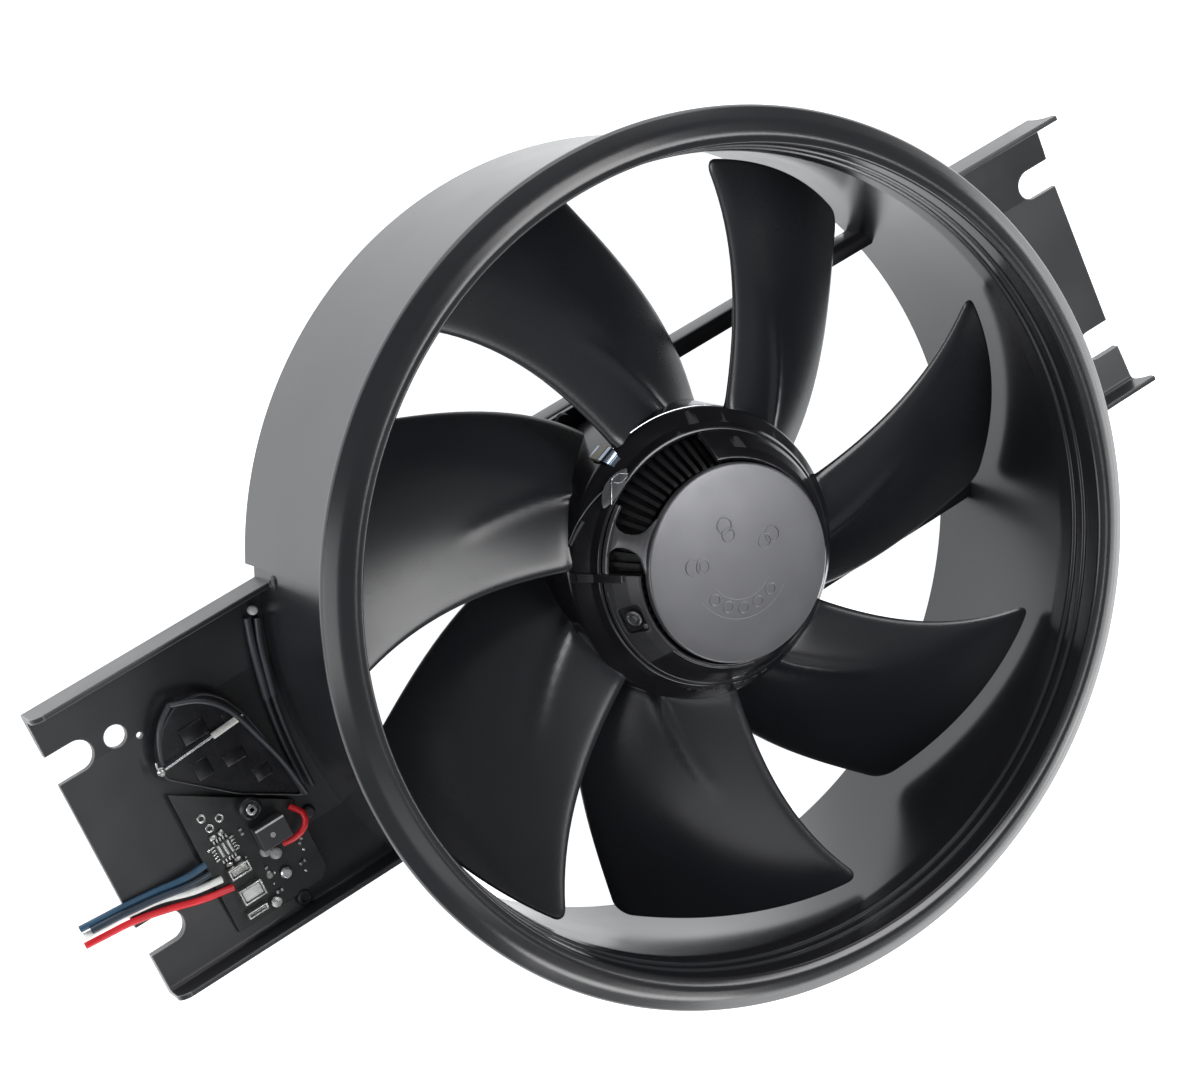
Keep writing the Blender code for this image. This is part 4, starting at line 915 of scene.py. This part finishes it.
def build_board():
    """The driver board, its solder points and every part that stands on it."""
    z = BOARD_Z
    refined("controller_board", BOARD, 0.00025)
    rng = random.Random(7)
    eyelet = [(0.0009, 0, 0), (0.0019, 0, 0.0001), (0.0017, 0.0005, 0.0003), (0.0010, 0.0004, 0.0002)]
    pads = [round_part(x, y, z, eyelet)
            for x, y in ((-0.2069, -0.0071), (-0.2006, -0.0106), (-0.2057, -0.0122))]
    for x, y in ((-0.1913, -0.0417), (-0.1881, -0.0442), (-0.1990, -0.0245), (-0.1985, -0.0300),
                 (-0.1770, -0.0400), (-0.1800, -0.0480), (-0.1935, -0.0455), (-0.2100, -0.0200)):
        size = 0.0005 + 0.0003 * rng.random()
        dot = [(0, 0, 0), (size, 0, 0), (size * 0.7, 0.00022, 0.0001), (0, 0.0003, 0)]
        pads.append(round_part(x, y, z, dot, 12))
    piece(joined("solder_points", pads), SOLDER, "housing")
    build_chip()
    build_terminals()
    build_tall_parts()
    build_small_parts()


def build_chip():
    x, y, z = -0.2043, -0.0222, BOARD_Z
    body = box_part(x, y, 0.0066, 0.0066, z + 0.0003, z + 0.0019, 0.0002)
    piece(body, BLACK_PART, "housing", "driver_chip")
    pins = []
    for side in (-1, 1):
        for n in range(5):
            off = (n - 2) * 0.00135
            pins.append(box_part(x + off, y + side * 0.0041, 0.0008, 0.0022, z, z + 0.0009, 0.0002))
            pins.append(box_part(x + side * 0.0041, y + off, 0.0022, 0.0008, z, z + 0.0009, 0.0002))
    for dx, dy, w, h, turn in ((-0.0022, 0.0064, 0.0028, 0.0018, 0), (0.0014, 0.0066, 0.0024, 0.0020, 15),
                               (-0.0012, -0.0064, 0.0026, 0.0016, -10), (0.0026, -0.0062, 0.0028, 0.0018, 0)):
        pins.append(box_part(x + dx, y + dy, w, h, z, z + 0.0013, 0.0003, turn))
    for off in (-0.0021, 0.0, 0.0021):
        pins.append(box_part(x + off, y + 0.0004, 0.0011, 0.0052, z + 0.0017, z + 0.0023, 0.0002, 6))
    piece(joined("chip_pins", pins), TIN, "housing")


def build_terminals():
    """Three tinned clips: a folded cage with a dark mouth, and a filler in that mouth."""
    z = BOARD_Z
    for n, (x, y, w, h) in enumerate(((-0.2035, -0.0320, 0.0090, 0.0046), (-0.2030, -0.0425, 0.0100, 0.0066),
                                      (-0.2045, -0.0502, 0.0090, 0.0026))):
        cage = slab("cage", (x - w / 2, y - h / 2, z), (x + w / 2, y + h / 2, z + 0.0040))
        boolean(cage, slab("mouth", (x - w / 2 + 0.0009, y - h / 2 + 0.0007, z + 0.0022),
                           (x + w / 2 - 0.0009, y + h / 2 - 0.0007, z + 0.01)))
        soften(cage, 0.0003)
        piece(cage, TIN, "housing", f"terminal_clip_{n + 1}")
        filler = box_part(x, y, w - 0.0022, max(0.0006, h - 0.0020), z + 0.0018, z + 0.0034, 0.0004)
        piece(filler, SOLDER if n != 1 else PRINT_WHITE, "housing").name = f"terminal_core_{n + 1}"


def build_tall_parts():
    """The round capacitor with its vent, and the relay block with its plain print."""
    z = BOARD_Z
    can = [(0, 0, 0), (0.0046, 0, 0.0002), (0.0046, 0.0044, 0.0008), (0.0034, 0.0054, 0.0006),
           (0.0030, 0.0046, 0.0003), (0, 0.0046, 0)]
    piece(round_part(-0.1892, -0.0128, z, can), BLACK_PART, "housing", "round_capacitor")
    vent = [(0, 0.0040, 0), (0.0024, 0.0040, 0), (0.0022, 0.0055, 0.0006), (0, 0.0055, 0)]
    insert = round_part(-0.1892, -0.0128, z, vent, 24)
    boolean(insert, slab("drive", (-0.1901, -0.0136, z + 0.0046), (-0.1883, -0.0120, z + 0.01)))
    piece(insert, BRIGHT_STEEL, "housing").name = "capacitor_vent"
    relay = box_part(-0.1860, -0.0252, 0.0130, 0.0094, z + 0.0003, z + 0.0074, 0.0005)
    piece(relay, BLACK_PART, "housing", "relay_block")
    stripe = slab("relay_stripe", (-0.1925, -0.0211, z + 0.0070), (-0.1800, -0.0204, z + 0.0075))
    piece(stripe, PRINT_WHITE, "housing")
    ring = [(0.0007, 0.0072, 0), (0.0010, 0.0072, 0), (0.0010, 0.00752, 0), (0.0007, 0.00752, 0)]
    marks = [round_part(-0.1868, -0.0252, z, ring, 24)]
    for turn in (0, 60, 120):
        dash = slab("dash", (-0.0006, -0.0001, z + 0.0072), (0.0006, 0.0001, z + 0.00752))
        marks.append(moved(dash, spot(-0.1868, -0.0252, turn)))
    piece(joined("relay_mark", marks), PRINT_WHITE, "housing")


def build_small_parts():
    """The screws, chip resistors, sealant, metal can and boss."""
    z = BOARD_Z
    refined("board_screw_1", BRIGHT_STEEL, 0.0002)
    refined("board_screw_2", DARK_METAL, 0.0002)
    chips, ends = [], []
    for x, y, turn in ((-0.1935, -0.0390, 90), (-0.1800, -0.0440, 10), (-0.1930, -0.0490, 0),
                       (-0.2095, -0.0370, 0), (-0.1958, -0.0200, 90), (-0.1770, -0.0360, 45)):
        chips.append(box_part(x, y, 0.0014, 0.0012, z, z + 0.0008, 0.00012, turn))
        for middle in (-0.0010, 0.0010):
            end = slab("end", (middle - 0.0004, -0.0006, z), (middle + 0.0004, 0.0006, z + 0.00085))
            ends.append(moved(end, spot(x, y, turn)))
    piece(joined("chip_resistors", chips), BLACK_PART, "housing")
    piece(joined("chip_resistor_ends", ends), TIN, "housing")
    lumps = []
    for x, y, r in ((-0.1908, -0.0322, 0.0023), (-0.1874, -0.0349, 0.0026), (-0.1935, -0.0415, 0.0014)):
        lump = [(0, 0, 0), (r, 0, 0), (r * 0.9, r * 0.5, r * 0.4), (r * 0.35, r * 0.62, 0.0003),
                (0, r * 0.5, 0)]
        lumps.append(round_part(x, y, z, lump, 28))
    piece(joined("sealant_lumps", lumps), GREY_SEAL, "housing")
    can = [(0, 0, 0), (0.0024, 0, 0.0002), (0.0024, 0.0030, 0.0006), (0, 0.0031, 0)]
    piece(round_part(-0.1963, -0.0515, z, can), TIN, "housing").name = "metal_can"
    boss = [(0, 0.0135, 0), (0.0030, 0.0135, 0.0003), (0.0030, 0.0160, 0.0006), (0.0018, 0.0163, 0.0003),
            (0.0016, 0.0150, 0.0002), (0, 0.0150, 0)]
    piece(round_part(-0.1853, -0.0570, 0, boss), BLACK_PART, "housing").name = "board_boss"


def build_fuse():
    fuse_y, fuse_z = 0.0188, WELL_TOP_Z + 0.0016
    body, _ = wire("fuse_body", [(-0.1765, 0.0214, fuse_z), (-0.1895, 0.0204, fuse_z)], 0.0013, 6, 0.0010)
    lead, _ = wire("fuse_lead", [(-0.1755, 0.0215, fuse_z), (-0.2125, fuse_y, fuse_z)], 0.0005)
    stub, _ = wire("fuse_stub", [(-0.2128, fuse_y, fuse_z), (-0.2136, fuse_y + 0.0020, fuse_z),
                                 (-0.2131, fuse_y + 0.0042, fuse_z)], 0.0005)
    piece(joined("fuse_stub_finished", [stub]), TIN, "housing")
    piece(joined("fuse_body_finished", [body]), CERAMIC, "housing", "thermal_fuse")
    piece(joined("fuse_lead_finished", [lead]), BRIGHT_STEEL, "housing")
    post = [(0, 0, 0), (0.0010, 0, 0), (0.0018, 0.0022, 0.0008), (0.0018, 0.0028, 0.0008),
            (0.0008, 0.0036, 0.0004), (0, 0.0036, 0)]
    piece(round_part(-0.2128, fuse_y, WELL_TOP_Z - 0.0010, post), TIN, "housing", "fuse_post")


LEADS = {
    "lead_blue": (BLUE, (
        (-0.2140, -0.0232, 0.0168), (-0.2230, -0.0236, 0.0166), (-0.2350, -0.0227, 0.0142),
        (-0.2475, -0.0215, 0.0133), (-0.2570, -0.0209, 0.0127), (-0.2662, -0.0205, 0.0118))),
    "lead_dark": (DARK, (
        (-0.2140, -0.0272, 0.0168), (-0.2230, -0.0266, 0.0176), (-0.2350, -0.0246, 0.0168),
        (-0.2475, -0.0232, 0.0160), (-0.2560, -0.0226, 0.0154), (-0.2630, -0.0223, 0.0149))),
    "lead_white": (WHITE, (
        (-0.2110, -0.0318, 0.0168), (-0.2230, -0.0298, 0.0166), (-0.2350, -0.0266, 0.0142),
        (-0.2475, -0.0250, 0.0133), (-0.2570, -0.0243, 0.0127), (-0.2660, -0.0239, 0.0118))),
    "lead_red": (RED, (
        (-0.2085, -0.0370, 0.0168), (-0.2210, -0.0346, 0.0168), (-0.2350, -0.0311, 0.0144),
        (-0.2475, -0.0286, 0.0133), (-0.2580, -0.0278, 0.0126), (-0.2673, -0.0273, 0.0118))),
}
MOTOR_WIRES = (
    ((-0.1525, 0.0500, 0.0146), (-0.1560, 0.0400, 0.0146), (-0.1602, 0.0200, 0.0140),
     (-0.1620, 0.0000, 0.0132), (-0.1622, -0.0200, 0.0132)),
    ((-0.1560, 0.0520, 0.0146), (-0.1592, 0.0400, 0.0146), (-0.1632, 0.0200, 0.0140),
     (-0.1650, 0.0000, 0.0132), (-0.1650, -0.0170, 0.0132)),
    ((-0.1990, 0.0400, 0.0196), (-0.1880, 0.0355, 0.0208), (-0.1800, 0.0270, 0.0224),
     (-0.1745, 0.0120, 0.0222), (-0.1700, -0.0030, 0.0208), (-0.1672, -0.0190, 0.0196)),
)
RIM_ROUTE = ((-0.2112, 0.0205, 0.0186), (-0.2085, 0.0290, 0.0190), (-0.2045, 0.0355, 0.0194),
             (-0.1985, 0.0402, 0.0197))
JUMPER = ((-0.1748, -0.0212, 0.0166), (-0.1718, -0.0255, 0.0196), (-0.1740, -0.0300, 0.0204),
          (-0.1788, -0.0323, 0.0190), (-0.1835, -0.0327, 0.0166))


def build_leads():
    for node, (mat, route) in LEADS.items():
        ob, length = wire(node + "_cord", route, LEAD_R)
        piece(ob, mat, "housing", node)


def build_wires():
    for n, route in enumerate(MOTOR_WIRES):
        ob, _ = wire(f"motor_wire_{n + 1}_finished", route, MOTOR_WIRE_R)
        piece(ob, BLACK, "housing", f"motor_wire_{n + 1}")
    for n, route in enumerate(MOTOR_WIRES[:2]):
        sheath, _ = wire(f"wire_sheath_{n + 1}", route[:3], MOTOR_WIRE_R + 0.0004)
        piece(sheath, BRAID, "housing")
    rim_wire, _ = wire("rim_wire", RIM_ROUTE, MOTOR_WIRE_R)
    piece(rim_wire, BLACK, "housing")
    tie = [(0, 0.0128, 0), (0.0019, 0.0128, 0.0004), (0.0019, 0.0156, 0.0010), (0, 0.0160, 0)]
    piece(round_part(-0.1526, 0.0535, 0, tie), PRINT_WHITE, "housing").name = "cable_button"
    ob, _ = wire("jumper_finished", JUMPER, LEAD_R * 0.9)
    piece(ob, RED, "housing", "jumper_wire")


# ---- stage --------------------------------------------------------------------------
def build_camera():
    data = bpy.data.cameras.new("camera")
    data.sensor_width = SENSOR_WIDTH
    data.sensor_fit = "HORIZONTAL"
    data.lens = CAMERA_LENS
    data.clip_end = 20
    camera = bpy.data.objects.new("camera", data)
    bpy.context.collection.objects.link(camera)
    camera.matrix_world = Matrix((CAMERA_RIGHT, CAMERA_UP, CAMERA_BACK)).transposed().to_4x4()
    camera.location = CAMERA_AT
    bpy.context.scene.camera = camera


def area_light(name, at, aim, size, power):
    data = bpy.data.lights.new(name, "AREA")
    data.shape = "RECTANGLE"
    data.size, data.size_y = size
    data.energy = power
    lamp = bpy.data.objects.new(name, data)
    bpy.context.collection.objects.link(lamp)
    lamp.location = at
    lamp.rotation_euler = (Vector(aim) - Vector(at)).to_track_quat("-Z", "Y").to_euler()


def build_stage():
    bm = bmesh.new()
    far = FLOOR_HALF_WIDTH
    bm.faces.new([bm.verts.new((x, y, 0)) for x, y in ((-far, -far), (far, -far), (far, far), (-far, far))])
    floor = loose("studio_floor", bm)
    paper = bpy.data.materials.new("studio_paper")
    paper.use_nodes = True
    set_inputs(paper.node_tree.nodes["Principled BSDF"], {
        "Base Color": (0.90, 0.90, 0.90, 1), "Roughness": 0.9, "Emission Color": (0.965, 0.985, 1, 1),
        "Emission Strength": 1.08})
    floor.data.materials.append(paper)
    world = bpy.data.worlds.new("studio")
    world.use_nodes = True
    set_inputs(world.node_tree.nodes["Background"], {"Color": (0.95, 0.98, 1, 1), "Strength": 0.27})
    bpy.context.scene.world = world
    area_light("overhead_softbox", (0.80, 0.34, 2.0), (0.80, 0.34, 0), (0.80, 1.70), 34)
    area_light("lower_softbox", (-1.05, -1.20, 2.0), (-1.05, -1.20, 0), (2.0, 0.8), 7)
    area_light("low_softbox", (-0.50, -1.80, 0.85), (0, 0, 0.05), (1.1, 0.5), 13)
    area_light("side_softbox", (-2.2, 0.5, 0.9), (0, 0, 0.05), (1.2, 1.6), 18)
    area_light("right_backdrop", (3.0, -1.4, 0.45), (0, 0, 0.1), (3.4, 0.9), 36)
    area_light("near_backdrop", (1.1, -3.1, 0.45), (0, 0, 0.1), (3.0, 0.9), 26)
    area_light("far_backdrop", (1.0, 3.0, 0.45), (0, 0, 0.1), (3.4, 0.9), 34)


build_camera()
build_leads()
build_wires()
build_duct()
build_arm(-1)
build_arm(1)
build_crossbar(1)
build_crossbar(-1)
build_motor_frame()
build_hub()
for number in range(BLADES):
    build_blade(number)
build_end_bell()
build_balance_clip()
build_well()
build_board()
build_fuse()
build_stage()

bpy.context.scene.view_settings.view_transform = "Standard"
